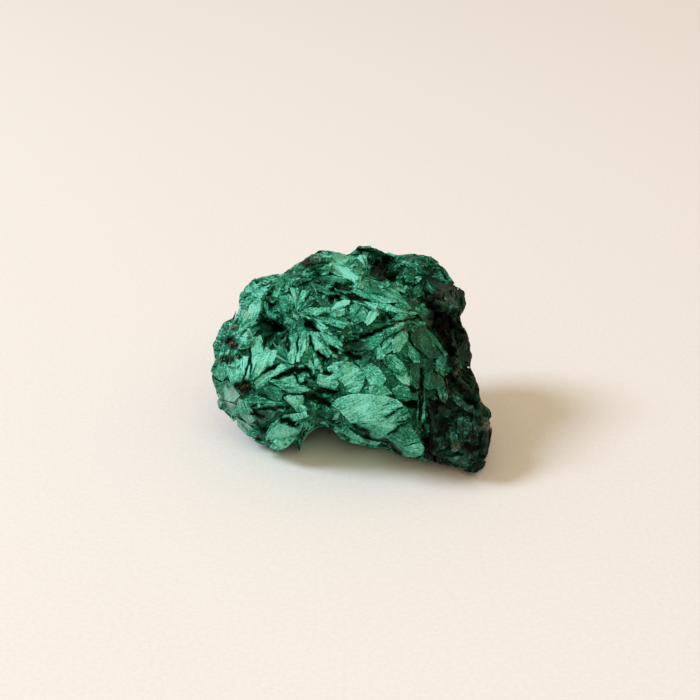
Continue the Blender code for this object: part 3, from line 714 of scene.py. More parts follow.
# %% The sprays of the front: root, lift of the tips in mm, and (tip across, tip down, width)
SPRAYS = {
    "left shoulder": ((255, 304), 0.9, [(241, 298, 8), (246, 288, 8), (255, 284, 8), (263, 289, 6)]),
    "slot": ((267, 303), 0.6, [(283, 290, 6), (274, 288, 5)]),
    "bowl": ((289, 310), 0.8, [(279, 298, 6), (285, 293, 6), (291, 297, 5)]),
    "high rosette": (
        (297, 311),
        0.9,
        [(293, 291, 5), (302, 289, 6), (311, 294, 6), (316, 301, 5), (325, 309, 9), (311, 322, 4)],
    ),
    "long blade": ((309, 315), 0.9, [(329, 331, 4), (322, 331, 4)]),
    "ragged fan": ((316, 313), 1.0, [(348, 313, 6), (349, 321, 7), (344, 328, 8), (334, 330, 7)]),
    "short bright blade": ((331, 309), 1.0, [(349, 299, 7)]),
    "top lamella": ((322, 263), 0.8, [(363, 268, 7), (362, 276, 7)]),
    "upper lamellae": ((322, 272), 0.8, [(372, 281, 7), (352, 291, 7)]),
    "middle lamella": ((312, 281), 0.9, [(348, 299, 7)]),
    "high plate": ((352, 287), 0.9, [(392, 300, 8), (388, 308, 7)]),
    "upper right lamellae": ((360, 272), 1.0, [(398, 286, 9), (403, 297, 9)]),
    "ridge lamellae": ((352, 299), 1.0, [(382, 312, 8), (416, 314, 8)]),
    "spikes": ((410, 313), 1.3, [(434, 310, 6)]),
    "small spike": ((399, 300), 1.0, [(412, 307, 5)]),
    "bulge": ((349, 303), 0.9, [(361, 324, 9), (375, 322, 10)]),
    "under the ridge": ((416, 316), 0.8, [(393, 322, 5), (384, 329, 6)]),
    "dark slab": ((417, 320), 0.9, [(434, 354, 9), (446, 350, 8)]),
    "left lens": ((216, 363), 0.9, [(221, 341, 8)]),
    "left wedge": ((259, 327), 1.1, [(240, 329, 8), (238, 339, 9), (242, 347, 7)]),
    "leaf": ((251, 353), 1.1, [(260, 334, 8)]),
    "lower rosette": (
        (245, 384),
        1.3,
        [
            (230, 363, 9), (237, 358, 8), (245, 357, 6), (250, 365, 4), (256, 353, 8),
            (266, 350, 7), (275, 353, 8), (285, 366, 6), (294, 368, 5), (297, 380, 10),
            (309, 391, 8),
        ],
    ),
    "dark leaf": ((262, 387), 0.9, [(282, 400, 12)]),
    "lower bands": ((240, 402), 0.9, [(288, 406, 10), (262, 418, 8)]),
    "small fan": ((297, 414), 1.2, [(285, 397, 7), (293, 394, 7), (301, 395, 7), (305, 404, 6)]),
    "strut": ((262, 437), 0.8, [(281, 420, 5), (297, 416, 4)]),
    "foot facets": ((281, 428), 0.7, [(272, 443, 8), (282, 450, 9), (287, 444, 8)]),
    "centre fan": (
        (300, 326),
        1.2,
        [(283, 347, 6), (287, 364, 7), (294, 366, 6), (299, 363, 5), (305, 355, 5), (310, 352, 5)],
    ),
    "centre leaves": ((311, 332), 1.1, [(319, 352, 8), (328, 357, 9), (330, 347, 6)]),
    "ragged leaves": ((328, 330), 1.0, [(346, 341, 9), (342, 352, 8), (335, 358, 8)]),
    "small leaf": ((309, 361), 0.9, [(311, 377, 7)]),
    "slant fan": ((294, 366), 0.9, [(297, 382, 7), (304, 384, 6), (308, 376, 5)]),
    "thin leaf": ((315, 350), 0.9, [(326, 374, 6), (320, 372, 5)]),
    "teal block": ((316, 377), 0.8, [(336, 380, 7), (334, 388, 7)]),
    "crack lip": ((414, 320), 1.0, [(384, 334, 6), (352, 350, 7), (362, 354, 7)]),
    "centre plate": ((372, 374), 0.9, [(336, 366, 9), (338, 378, 9), (346, 388, 9)]),
    "centre sweep": ((360, 368), 0.9, [(386, 372, 8), (398, 384, 9), (392, 394, 8)]),
    "front plate": ((340, 404), 0.8, [(404, 396, 8), (405, 412, 8)]),
    "plate foot": ((350, 420), 0.7, [(404, 426, 7), (388, 434, 7)]),
    "right fan": ((409, 328), 1.0, [(391, 340, 6), (384, 346, 6), (398, 350, 8), (413, 352, 7)]),
    "right sweep": (
        (378, 344),
        1.0,
        [(384, 363, 8), (396, 368, 8), (409, 378, 10), (404, 392, 10)],
    ),
    "band by the seam": ((394, 396), 0.9, [(419, 399, 9), (416, 384, 8)]),
    "seam": ((424, 370), 1.0, [(421, 400, 5), (423, 432, 5)]),
    "rough face high": ((428, 358), 1.0, [(437, 378, 7), (449, 390, 7), (440, 400, 6)]),
    "rough face low": ((432, 402), 1.0, [(448, 418, 8), (444, 440, 8), (434, 452, 7)]),
    "corner": ((462, 420), 1.0, [(484, 412, 9), (488, 432, 9), (482, 456, 9), (464, 452, 8)]),
    "corner shelf": ((446, 448), 0.8, [(468, 462, 6), (440, 458, 5)]),
    "dark recess": ((303, 390), 0.8, [(338, 399, 10), (334, 412, 9), (316, 410, 7)]),
    "underside ledge": ((318, 419), 0.8, [(340, 431, 7), (352, 430, 6)]),
    "ledge below the plate": ((347, 430), 0.8, [(370, 444, 8), (386, 442, 5)]),
    "rear lump": ((412, 268), 0.9, [(420, 259, 7), (432, 262, 7)]),
    "rear right lump": ((440, 297), 1.0, [(449, 286, 8), (460, 294, 8), (460, 303, 7), (446, 280, 7)]),
    "rear ridge": ((360, 254), 0.8, [(384, 254, 6), (396, 261, 6)]),
    "right edge": ((456, 330), 0.8, [(464, 342, 7), (467, 360, 7)]),
    "right edge low": ((462, 374), 0.8, [(476, 388, 8), (474, 402, 8)]),
}
print(len(SPRAYS), "sprays,", sum(len(tips) for _, _, tips in SPRAYS.values()), "blades")

# %% [markdown]
# ## The wide plates
# A few blades are far wider than the rest: cleaved leaves and plates of malachite that catch the
# light as one sheet. Each has its own outline, so it is drawn point by point on the front
# drawing, and its fibres spread from a root that may lie inside or outside it.

# %% The wide plates: outline, root of the fibres, lift of the far end in mm, tone, how calm
PLATES = {
    # the fan at the lower left
    "left blade": ([(229, 359), (237, 357), (239, 366), (241, 377), (240, 384), (235, 389),
                    (229, 381), (226, 371)], (238, 394), 1.2, 0.06, 0.1),
    "second blade": ([(239, 356), (247, 357), (246, 366), (243, 376), (241, 377), (239, 366)],
                     (241, 388), 1.1, 0.10, 0.1),
    "narrow blade": ([(248, 363), (250, 362), (250, 371), (246, 381), (244, 379)],
                     (243, 386), 0.8, 0.02, 0.1),
    "ragged leaf": ([(251, 353), (258, 354), (262, 353), (265, 348), (269, 351), (276, 351),
                     (274, 358), (270, 366), (262, 371), (255, 377), (251, 380), (251, 366)],
                    (246, 392), 1.5, 0.03, 0.1),
    "upper long leaf": ([(254, 382), (262, 376), (272, 369), (280, 365), (292, 366), (292, 369),
                         (281, 372), (271, 378), (262, 386), (257, 388)],
                        (247, 390), 1.4, 0.02, 0.1),
    "lower long leaf": ([(269, 381), (282, 377), (293, 373), (298, 381), (309, 390), (299, 393),
                         (288, 392), (281, 388), (276, 385)], (255, 385), 1.5, 0.03, 0.1),
    "dark leaf": ([(263, 388), (270, 386), (279, 389), (282, 394), (279, 402), (272, 400),
                   (266, 395)], (256, 384), 0.7, -0.13, 0.6),
    "lower bands": ([(244, 401), (256, 396), (270, 402), (264, 407), (252, 409)],
                    (236, 402), 0.5, -0.05, 0.4),
    "small fan": ([(284, 398), (290, 396), (298, 397), (305, 395), (303, 401), (301, 408),
                   (297, 413), (293, 407), (287, 402)], (297, 418), 1.3, 0.14, 0.1),
    "left bulge": ([(212, 365), (221, 362), (228, 366), (226, 375), (221, 381), (215, 378),
                    (210, 371)], (222, 384), 0.5, -0.06, 0.6),
    "left lens": ([(219, 337), (223, 340), (223, 350), (218, 356), (211, 358), (210, 352),
                   (213, 344)], (216, 372), 0.8, 0.06, 0.3),
    "pale rim": ([(217, 385), (226, 381), (233, 388), (238, 396), (232, 402), (222, 400),
                  (216, 393)], (238, 372), 0.6, -0.04, 0.7),
    "dark rim": ([(216, 403), (224, 402), (233, 405), (238, 412), (232, 416), (224, 412),
                  (218, 409)], (246, 396), 0.5, -0.10, 0.6),
    "rim band": ([(238, 400), (246, 403), (251, 411), (255, 420), (247, 424), (240, 416),
                  (236, 408)], (236, 384), 0.6, -0.03, 0.3),
    "low rim": ([(236, 419), (246, 425), (255, 431), (263, 438), (257, 441), (246, 436),
                 (237, 428)], (214, 404), 0.5, -0.05, 0.5),
    "rim foot": ([(257, 412), (267, 409), (277, 412), (270, 420), (261, 424), (255, 418)],
                 (240, 408), 0.5, -0.08, 0.4),
    "pale arm": ([(266, 434), (271, 425), (284, 416), (298, 414), (308, 417), (299, 420),
                  (286, 425), (276, 432), (270, 438)], (258, 446), 0.8, 0.06, 0.4),
    "foot face": ([(266, 438), (272, 430), (280, 426), (290, 428), (298, 431), (299, 440),
                   (294, 448), (284, 451), (273, 449), (266, 444)], (283, 412), 0.8, 0.08, 0.5),
    # the hollow and the knob above it
    "shoulder facet": ([(240, 293), (246, 286), (253, 281), (260, 285), (258, 293), (253, 299),
                        (247, 301), (241, 300)], (257, 306), 0.7, -0.05, 0.3),
    "shoulder blade": ([(255, 299), (259, 293), (264, 288), (267, 289), (264, 297), (261, 303),
                        (256, 303)], (257, 310), 1.0, 0.08, 0.1),
    "knob": ([(240, 306), (246, 303), (253, 304), (257, 311), (256, 319), (251, 323),
              (243, 323), (237, 317), (236, 311)], (250, 330), 1.0, 0.08, 0.7),
    "left wedge": ([(239, 326), (250, 325), (260, 327), (255, 332), (250, 338), (245, 343),
                    (240, 340), (238, 332)], (262, 326), 0.9, -0.05, 0.3),
    "leaf by the hollow": ([(252, 341), (259, 335), (262, 341), (262, 352), (254, 353),
                            (250, 351)], (255, 362), 1.0, 0.06, 0.1),
    "hollow wall": ([(263, 331), (270, 330), (276, 334), (272, 344), (265, 350), (261, 344)],
                    (272, 322), 0.3, -0.22, 0.6),
    "hollow lobe": ([(279, 296), (285, 295), (289, 304), (288, 311), (282, 310), (279, 303)],
                    (290, 314), 1.1, -0.03, 0.3),
    "rosette upright": ([(296, 309), (297, 301), (301, 291), (308, 291), (304, 299), (300, 307)],
                        (296, 312), 1.1, 0.08, 0.1),
    "rosette upper": ([(299, 310), (303, 303), (310, 296), (315, 299), (311, 304), (305, 308)],
                      (296, 312), 1.0, -0.04, 0.1),
    "rosette right": ([(299, 312), (308, 308), (320, 307), (329, 308), (327, 312), (316, 315),
                       (306, 314)], (296, 312), 1.1, 0.10, 0.1),
    "long blade": ([(308, 317), (314, 320), (326, 330), (322, 332), (314, 326)],
                   (304, 313), 1.1, 0.04, 0.1),
    "lower fan": ([(316, 316), (330, 317), (345, 318), (348, 323), (342, 328), (332, 325),
                   (322, 322)], (306, 312), 1.0, 0.02, 0.1),
    # the middle fans
    "middle column": ([(290, 336), (296, 334), (299, 345), (295, 355), (293, 363), (289, 362),
                       (286, 350)], (296, 322), 1.0, 0.05, 0.1),
    "second column": ([(300, 334), (305, 331), (309, 335), (308, 345), (303, 352), (299, 361),
                       (296, 361), (297, 350)], (304, 322), 1.1, 0.09, 0.1),
    "right leaf": ([(311, 332), (318, 333), (322, 341), (328, 344), (331, 352), (327, 357),
                    (321, 353), (315, 349), (312, 348), (310, 339)], (309, 324), 1.3, 0.04, 0.1),
    "upper right leaf": ([(320, 333), (328, 330), (335, 337), (343, 341), (341, 347), (344, 353),
                          (337, 353), (330, 344), (324, 339)], (312, 325), 1.2, 0.05, 0.1),
    "small green leaf": ([(309, 359), (313, 365), (314, 372), (311, 377), (307, 376), (308, 367)],
                         (308, 350), 1.1, 0.10, 0.2),
    "slanted leaf": ([(294, 370), (300, 366), (307, 364), (306, 373), (303, 381), (299, 383),
                      (296, 377)], (292, 356), 0.9, -0.02, 0.1),
    "teal block": ([(319, 374), (327, 377), (333, 376), (338, 383), (335, 390), (325, 388),
                    (317, 384)], (300, 380), 1.0, 0.12, 0.5),
    # the big lens of the middle
    "under the crack": ([(344, 342), (358, 340), (372, 335), (384, 330), (381, 341), (373, 349),
                         (359, 351), (346, 347)], (300, 352), 0.8, -0.10, 0.5),
    "second band": ([(350, 353), (360, 353), (371, 350), (370, 358), (362, 367), (356, 362)],
                    (380, 340), 0.6, -0.16, 0.5),
    "centre plate": ([(328, 369), (334, 364), (343, 362), (352, 364), (359, 369), (364, 376),
                      (362, 386), (358, 393), (347, 391), (344, 384), (336, 378), (331, 374)],
                     (400, 350), 1.2, 0.05, 0.2),
    "centre plate right": ([(361, 368), (372, 364), (380, 370), (386, 378), (382, 386),
                            (370, 384), (366, 376)], (340, 350), 1.0, 0.04, 0.3),
    "pale lump": ([(370, 387), (378, 384), (386, 387), (392, 394), (382, 397), (371, 395)],
                  (360, 410), 0.8, 0.06, 0.6),
    # the plates at the foot
    "big plate": ([(333, 405), (339, 400), (346, 397), (360, 395), (373, 396), (385, 398),
                   (394, 400), (400, 404), (402, 407), (396, 412), (386, 418), (378, 422),
                   (362, 423), (352, 423), (348, 419), (341, 411)], (290, 440), 1.9, 0.08, 0.1),
    "big plate tip": ([(404, 406), (407, 408), (409, 417), (404, 421), (395, 423), (381, 423),
                       (390, 418), (398, 412)], (340, 450), 1.6, 0.08, 0.2),
    "lower plate": ([(352, 425), (362, 425), (380, 424), (395, 425), (405, 423), (400, 428),
                     (393, 433), (388, 438), (380, 441), (372, 440), (366, 432), (358, 428)],
                    (300, 430), 1.2, 0.0, 0.9),
    "block": ([(388, 438), (394, 432), (401, 429), (410, 425), (413, 431), (418, 438),
               (420, 442), (412, 444), (405, 446), (400, 453), (396, 449), (391, 441)],
              (380, 425), 2.0, -0.09, 0.9),
    "block foot": ([(405, 448), (413, 446), (421, 444), (425, 450), (421, 456), (415, 458),
                    (407, 457), (401, 455)], (380, 446), 2.2, 0.04, 0.8),
    "ledge": ([(333, 431), (341, 425), (350, 431), (360, 437), (370, 443), (380, 443),
               (374, 447), (364, 446), (354, 441), (345, 435)], (320, 424), 1.0, 0.02, 0.6),
    "green face by the seam": ([(409, 409), (417, 404), (421, 412), (418, 420), (411, 423)],
                               (412, 396), 0.4, -0.20, 0.8),
    "band by the seam": ([(393, 390), (400, 386), (409, 388), (418, 392), (418, 400), (406, 401),
                          (397, 398)], (380, 396), 0.9, -0.02, 0.5),
    # the lamellae at the top
    "top lamella": ([(323, 260), (328, 259), (340, 262), (350, 266), (361, 265), (364, 270),
                     (360, 274), (350, 272), (339, 269), (330, 268), (323, 266)],
                    (300, 254), 1.2, 0.10, 0.2),
    "top back band": ([(324, 256), (338, 256), (352, 260), (366, 267), (378, 275), (386, 281),
                       (375, 279), (364, 272), (352, 265), (338, 261)],
                      (290, 246), 0.9, -0.02, 0.5),
    "dark band": ([(320, 277), (333, 275), (349, 279), (354, 286), (349, 289), (337, 284),
                   (326, 281)], (290, 268), 0.7, -0.12, 0.3),
    "long grey band": ([(327, 269), (345, 272), (362, 277), (352, 279), (338, 275)],
                       (290, 262), 0.9, 0.00, 0.3),
    "high plate": ([(352, 290), (355, 283), (361, 279), (371, 281), (380, 286), (389, 293),
                    (397, 301), (386, 302), (372, 300), (360, 295)],
                   (320, 272), 1.3, 0.07, 0.4),
    "upper right lamella": ([(364, 278), (374, 277), (386, 281), (396, 288), (403, 298),
                             (411, 307), (403, 306), (394, 297), (384, 289), (373, 283)],
                            (330, 258), 1.2, 0.00, 0.3),
    "lower bright band": ([(366, 303), (380, 302), (390, 304), (400, 309), (408, 312), (396, 312),
                           (384, 310), (374, 309)], (330, 292), 1.3, 0.10, 0.2),
    "bright bulge": ([(365, 322), (369, 312), (377, 309), (379, 314), (374, 320), (368, 325)],
                     (384, 296), 1.2, 0.20, 0.2),
    "left bulge of the ridge": ([(350, 306), (356, 303), (364, 307), (367, 312), (364, 320),
                                 (357, 322), (351, 318)], (370, 290), 0.9, -0.02, 0.4),
    "short bright blade": ([(331, 309), (337, 302), (344, 299), (350, 300), (349, 304),
                            (340, 308), (334, 311)], (318, 318), 1.1, 0.16, 0.2),
    "ridge tip": ([(390, 318), (400, 313), (410, 311), (419, 313), (408, 316), (398, 319)],
                  (370, 322), 1.4, 0.08, 0.4),
    "first shadow lamella": ([(312, 282), (325, 287), (338, 294), (350, 298), (338, 298),
                              (324, 293), (313, 287)], (280, 268), 0.8, -0.06, 0.2),
    "second shadow lamella": ([(331, 282), (345, 287), (352, 292), (345, 293), (334, 288)],
                              (290, 266), 0.6, -0.14, 0.2),
    "end of the lamellae": ([(387, 284), (397, 281), (403, 285), (405, 292), (397, 290)],
                            (350, 262), 1.0, 0.02, 0.2),
    "right tip of the lamellae": ([(398, 300), (406, 303), (412, 308), (404, 310), (396, 306)],
                                  (360, 284), 1.2, 0.08, 0.3),
    "crest facet": ([(300, 263), (311, 258), (321, 256), (320, 265), (308, 269)],
                    (290, 280), 0.6, -0.08, 0.3),
    "crest slope": ([(285, 278), (298, 273), (312, 272), (310, 279), (298, 283), (287, 285)],
                    (310, 300), 0.8, -0.02, 0.2),
    "left slope": ([(265, 283), (279, 278), (284, 286), (272, 290)], (286, 304), 0.8, 0.0, 0.2),
    "back band": ([(357, 248), (372, 247), (385, 252), (396, 257), (380, 258), (366, 255)],
                  (320, 244), 0.8, -0.06, 0.5),
    "back slope": ([(341, 257), (356, 254), (366, 258), (373, 265), (358, 262), (346, 261)],
                   (310, 250), 0.8, -0.02, 0.4),
    # right of the ridge
    "spike": ([(418, 312), (426, 310), (435, 310), (434, 319), (431, 327), (426, 322),
               (421, 316)], (400, 312), 1.6, -0.20, 0.8),
    "dark slab": ([(417, 322), (424, 326), (429, 334), (436, 342), (445, 352), (440, 357),
                   (430, 357), (422, 350), (415, 344), (413, 336)], (404, 300), 1.3, -0.24, 0.8),
    "slab edge": ([(423, 325), (427, 327), (440, 342), (448, 353), (445, 355), (434, 341)],
                  (404, 300), 1.9, -0.06, 0.5),
    "rib fan": ([(393, 341), (400, 332), (406, 331), (409, 337), (404, 345), (400, 351),
                 (394, 352)], (412, 322), 1.1, 0.04, 0.1),
    "rib fan left": ([(381, 349), (385, 342), (391, 337), (394, 341), (392, 350), (386, 354)],
                     (404, 326), 1.0, 0.10, 0.1),
    "pale facet": ([(409, 346), (414, 347), (419, 353), (420, 362), (414, 362), (409, 354)],
                   (402, 334), 1.0, 0.0, 0.4),
    "sweep": ([(383, 356), (392, 355), (402, 362), (406, 369), (402, 374), (393, 370),
               (386, 364)], (372, 344), 0.9, 0.04, 0.3),
    "right lens": ([(400, 362), (406, 369), (410, 378), (410, 385), (404, 384), (398, 378),
                    (394, 371)], (392, 352), 1.1, 0.04, 0.4),
    "facet by the seam": ([(411, 365), (419, 363), (421, 374), (420, 387), (414, 389),
                           (411, 379)], (412, 350), 0.7, -0.16, 0.5),
}
# The same for the dark right end, where every facet is small and keeps little crust.
CRUST_FACETS = {
    "green shelf": ([(438, 360), (447, 354), (458, 362), (455, 371), (445, 376), (437, 370)],
                    (446, 340), 0.8, -0.06, 0.5),
    "left of the vein": ([(425, 376), (433, 372), (440, 378), (438, 388), (430, 390),
                          (424, 386)], (430, 360), 0.7, -0.10, 0.3),
    "vein": ([(439, 374), (445, 382), (449, 395), (446, 404), (441, 398), (437, 386)],
             (436, 362), 0.8, -0.04, 0.3),
    "right ledge": ([(454, 396), (462, 399), (474, 407), (479, 417), (467, 411), (457, 404)],
                    (444, 388), 0.9, 0.04, 0.6),
    "lower green": ([(425, 425), (430, 426), (430, 437), (424, 438)], (426, 410), 0.5, 0.0, 0.5),
    "middle green": ([(459, 420), (469, 417), (474, 429), (466, 438), (458, 432)],
                     (462, 404), 0.8, 0.0, 0.5),
    "low left": ([(436, 440), (444, 437), (447, 448), (438, 452)], (440, 424), 0.7, -0.04, 0.4),
    "low middle": ([(450, 430), (458, 436), (461, 450), (453, 453)], (452, 416), 0.7, -0.03, 0.4),
    "corner face": ([(477, 411), (487, 411), (491, 424), (488, 440), (479, 437), (474, 424)],
                    (480, 390), 0.8, -0.04, 0.6),
    "corner foot": ([(466, 441), (479, 441), (485, 453), (477, 462), (465, 456)],
                    (472, 424), 0.8, -0.08, 0.4),
    "bottom ledge": ([(449, 459), (464, 457), (477, 464), (483, 471), (470, 469), (455, 464)],
                     (436, 454), 0.7, 0.08, 0.6),
    "edge facet": ([(457, 345), (465, 352), (470, 363), (462, 368), (456, 358)],
                   (456, 330), 0.7, -0.02, 0.5),
    "rim facet": ([(469, 380), (477, 387), (481, 397), (473, 396), (466, 388)],
                  (464, 368), 0.7, -0.02, 0.5),
    "upper right": ([(446, 296), (455, 290), (464, 296), (465, 304), (456, 308), (447, 304)],
                    (450, 280), 0.8, -0.08, 0.2),
    "rear facet": ([(438, 262), (447, 269), (455, 282), (446, 285), (436, 275)],
                   (430, 250), 0.7, 0.0, 0.4),
    "rear lump": ([(416, 258), (429, 257), (437, 265), (430, 273), (417, 271)],
                  (422, 244), 0.7, 0.04, 0.3),
    "teal patch": ([(385, 257), (392, 258), (396, 264), (391, 267), (386, 263)],
                   (380, 250), 0.6, 0.06, 0.4),
}
ALL_PLATES = {**PLATES, **{"crust " + name: plate for name, plate in CRUST_FACETS.items()}}


def in_outline(across, down, outline):
    """Whether a place of the drawing lies inside an outline."""
    inside = False
    for (x0, y0), (x1, y1) in zip(outline, outline[1:] + outline[:1]):
        if (y0 > down) != (y1 > down) and across < x0 + (down - y0) * (x1 - x0) / (y1 - y0):
            inside = not inside
    return inside


def on_plate(across, down):
    return any(in_outline(across, down, plate[0]) for plate in ALL_PLATES.values())


print(len(PLATES), "wide plates and", len(CRUST_FACETS), "facets of the crust")

# %% Lay one blade along the skin
RIB_PITCH = 0.00075
STATION_PITCH = 0.0008
BLADE_THICKNESS = 0.0005
ROOT_SHARE = 0.26
ROOT_SINK = 0.0004
TIP_RAGGED = 0.55
RIB_HEIGHT = 0.00014
BLADE_ROLL = 0.42
TONE_SPREAD = 0.10
SEED = 7
pick = np.random.default_rng(SEED)


def unit(vector):
    return vector / np.linalg.norm(vector)


def meet(across, down, tree=None):
    """Where a line of sight meets the stone, and the skin's normal there."""
    aim = unit(sight_points(across, down, 0) - EYE)
    tree = tree or lump_tree
    place, normal, _, _ = tree.ray_cast(Vector(EYE), Vector(aim))
    if place is None:
        place, normal, _, _ = tree.find_nearest(Vector(sight_points(across, down, 0)))
    return np.array(place), np.array(normal)


def find_nearest(place):
    found, normal, _, _ = lump_tree.find_nearest(Vector(place))
    return np.array(found), np.array(normal)


class Sheets:
    """Blades gathered for one piece of mesh, with what their finish reads."""

    def __init__(self):
        self.verts = []
        self.faces = []
        self.fibres = []
        self.tones = []
        self.shares = []
        self.calm = []
        self.blades = 0

    def add(self, rings, fibres, shares, tone):
        first = len(self.verts)
        size = len(rings[0])
        top = size - 2
        for ring, fibre, share in zip(rings, fibres, shares):
            self.verts += list(ring)
            self.fibres += list(fibre)
            self.shares += [share] * size
            self.tones += [tone] * size
            self.calm += [0.0] * size
        for step in range(len(rings) - 1):
            for corner in range(size):
                after = (corner + 1) % size
                here, there = first + step * size, first + (step + 1) * size
                quad = (here + corner, here + after, there + after, there + corner)
                self.faces += [(quad[0], quad[1], quad[2]), (quad[0], quad[2], quad[3])]
        for start, turned in ((first, False), (first + (len(rings) - 1) * size, True)):
            right, left = start + top, start + top + 1
            cap = [
                (start + j, start + j + 1, left if j < top // 2 else right)
                for j in range(top - 1)
            ]
            cap.append((start + top // 2, right, left))
            self.faces += [face[::-1] for face in cap] if turned else cap
        self.blades += 1


def ragged_ends(even, width, ragged):
    """How far short of the tip each rib stops: slanted, pointed or jagged, as crystals break."""
    slant = pick.uniform(-0.7, 0.7)
    point = pick.uniform(0, 0.7)
    jagged = pick.uniform(0, 0.55, len(even))
    short = np.abs(slant) - slant * even + point * np.abs(even) + jagged
    return -short * ragged * width


def lay_blade(sheets, path, normals, width, lift, tone, **form):
    """One ribbed wedge along a path on the skin, narrow at its root and ragged at its tip."""
    root_share = form.get("root_share", ROOT_SHARE)
    swell = form.get("swell", 0.8)
    thickness = form.get("thickness", BLADE_THICKNESS)
    rib_height = form.get("rib_height", RIB_HEIGHT)
    grain = form.get("grain", 0.0)
    roll = form.get("roll", pick.normal(0, BLADE_ROLL))
    count = len(path)
    ribs = max(2, int(round(width / form.get("rib_pitch", RIB_PITCH))))
    top = 2 * ribs + 1
    even = np.linspace(-1, 1, top)
    odd = np.arange(top) % 2 == 1
    sway = even + pick.uniform(-0.5, 0.5, top) / top
    ridge = np.where(odd, pick.uniform(0.2, 1.8, top), pick.uniform(-0.3, 0.5, top))
    step_heights = np.repeat(pick.normal(0, 0.9, ribs + 1), 2)[:top]
    length = np.linalg.norm(np.diff(path, axis=0), axis=1).sum()
    offset = pick.uniform(0, 1000)
    ends = np.maximum(ragged_ends(even, width, form.get("ragged", TIP_RAGGED)), -0.5 * length)
    rings, fibres, shares = [], [], []
    for step in range(count):
        share = step / (count - 1)
        along = unit(path[min(step + 1, count - 1)] - path[max(step - 1, 0)])
        side = unit(np.cross(along, normals[step]))
        outward = np.cross(side, along)
        flat = side * cos(roll) + outward * sin(roll)
        raised = outward * cos(roll) - side * sin(roll)
        half = width * 0.5 * (root_share + (1 - root_share) * share**swell)
        base = path[step] + outward * (lift * share**0.7 - ROOT_SINK * (1 - share))
        rise = (1 - even**2) * thickness * 0.6
        rise = rise + (ridge + step_heights * share) * rib_height * (0.4 + 0.6 * share)
        reach = ends if step == count - 1 else ends * 0.45 if step == count - 2 else 0 * ends
        ring = base + np.outer(half * sway, flat) + np.outer(rise, raised) + np.outer(reach, along)
        under = base - raised * (thickness + lift * share * 0.6) + along * (ends.mean() - 0.1 * width if share == 1 else 0)
        rings.append(list(ring) + [under + flat * half * 0.5, under - flat * half * 0.5])
        run = share * length + np.append(reach, (0, 0))
        across = half * np.append(sway, (0.5, -0.5))
        turned_across = across * cos(grain) - run * sin(grain)
        turned_run = run * cos(grain) + across * sin(grain)
        fibres.append([(offset + u / MM, v / MM) for u, v in zip(turned_across, turned_run)])
        shares.append(share)
    sheets.add(rings, fibres, shares, tone)


def front_path(root, tip):
    """A path over the skin between two places of the drawing."""
    length = np.hypot(tip[0] - root[0], tip[1] - root[1]) * SQUARE
    count = max(4, int(round(length / STATION_PITCH)) + 1)
    met = [
        meet(root[0] + (tip[0] - root[0]) * share, root[1] + (tip[1] - root[1]) * share)
        for share in np.linspace(0, 1, count)
    ]
    path = np.array([place for place, _ in met])
    normals = np.array([normal for _, normal in met])
    inner = path.copy()
    inner[1:-1] = (path[:-2] + path[1:-1] * 2 + path[2:]) / 4
    normals = np.array([unit(normals[max(0, i - 1) : i + 2].sum(axis=0)) for i in range(count)])
    return inner, normals


# %% Lay the front sprays
SCALES_PER_BLADE = 3
SCALE_SWING = 0.20
SCALE_SHIFT = 0.45
front_sheets = Sheets()


def swung(root, tip, swing, shift):
    """A root and tip turned about the root and moved sideways on the drawing."""
    run = np.array(tip, float) - root
    side = np.array((-run[1], run[0])) / np.hypot(*run) * shift
    turned = (run[0] * cos(swing) - run[1] * sin(swing), run[0] * sin(swing) + run[1] * cos(swing))
    return np.array(root, float), turned, side


for root, lift, tips in SPRAYS.values():
    for tip_across, tip_down, tip_width in tips:
        tone = pick.normal(0, TONE_SPREAD)
        path, path_normals = front_path(root, (tip_across, tip_down))
        crossed = [root + (np.array((tip_across, tip_down)) - root) * part for part in (0.6, 1.0)]
        if float(in_arch(path[-1:])[0]) > 0.05 or any(on_plate(*place) for place in crossed):
            continue
        width = tip_width * SQUARE
        high = lift * MM * pick.uniform(0.6, 1.7)
        lay_blade(front_sheets, path, path_normals, width * 1.05, high, tone)
        for scale in range(SCALES_PER_BLADE):
            swing = pick.uniform(-SCALE_SWING, SCALE_SWING)
            shift = pick.uniform(-SCALE_SHIFT, SCALE_SHIFT) * tip_width
            start, run, side = swung(root, (tip_across, tip_down), swing, shift)
            begin, end = pick.uniform(0.05, 0.50), pick.uniform(0.62, 1.0)
            crossed = [start + np.array(run) * part + side * part for part in (0.6 * end, end)]
            if any(on_plate(*place) for place in crossed):
                continue
            path, path_normals = front_path(
                start + np.array(run) * begin + side * begin, start + np.array(run) * end + side * end
            )
            if shows_past(path[-1] + path_normals[-1] * lift * MM):
                continue
            narrow = width * pick.uniform(0.35, 0.85)
            high = lift * MM * pick.uniform(0.8, 1.8)
            lay_blade(front_sheets, path, path_normals, narrow, high, tone + pick.normal(0, 0.08))
print("front sprays:", front_sheets.blades, "blades,", len(front_sheets.faces), "faces")

# %% Lay the wide plates
PLATE_STEP = 1.15
PLATE_SPREAD = 1.07
PLATE_RAGGED = 0.35
PLATE_RINGS = (1.0, 0.94, 0.84, 0.72, 0.6, 0.47, 0.33, 0.18)
PLATE_FLATNESS = 0.5
PLATE_LIFT = 0.75
PLATE_DEPTH = 0.0011
PLATE_RIB_SIZE = 0.7
PLATE_RIB_HEIGHT = 0.00034
PLATE_WAVE_SIZE = 0.0030
PLATE_WAVE_HEIGHT = 0.00070
# Painted highlight on each plate's top edge, and painted shade on its sides and underside.
PLATE_EDGE_PAINTED_HIGHLIGHT = 0.18
PLATE_SIDE_PAINTED_SHADE = -0.30


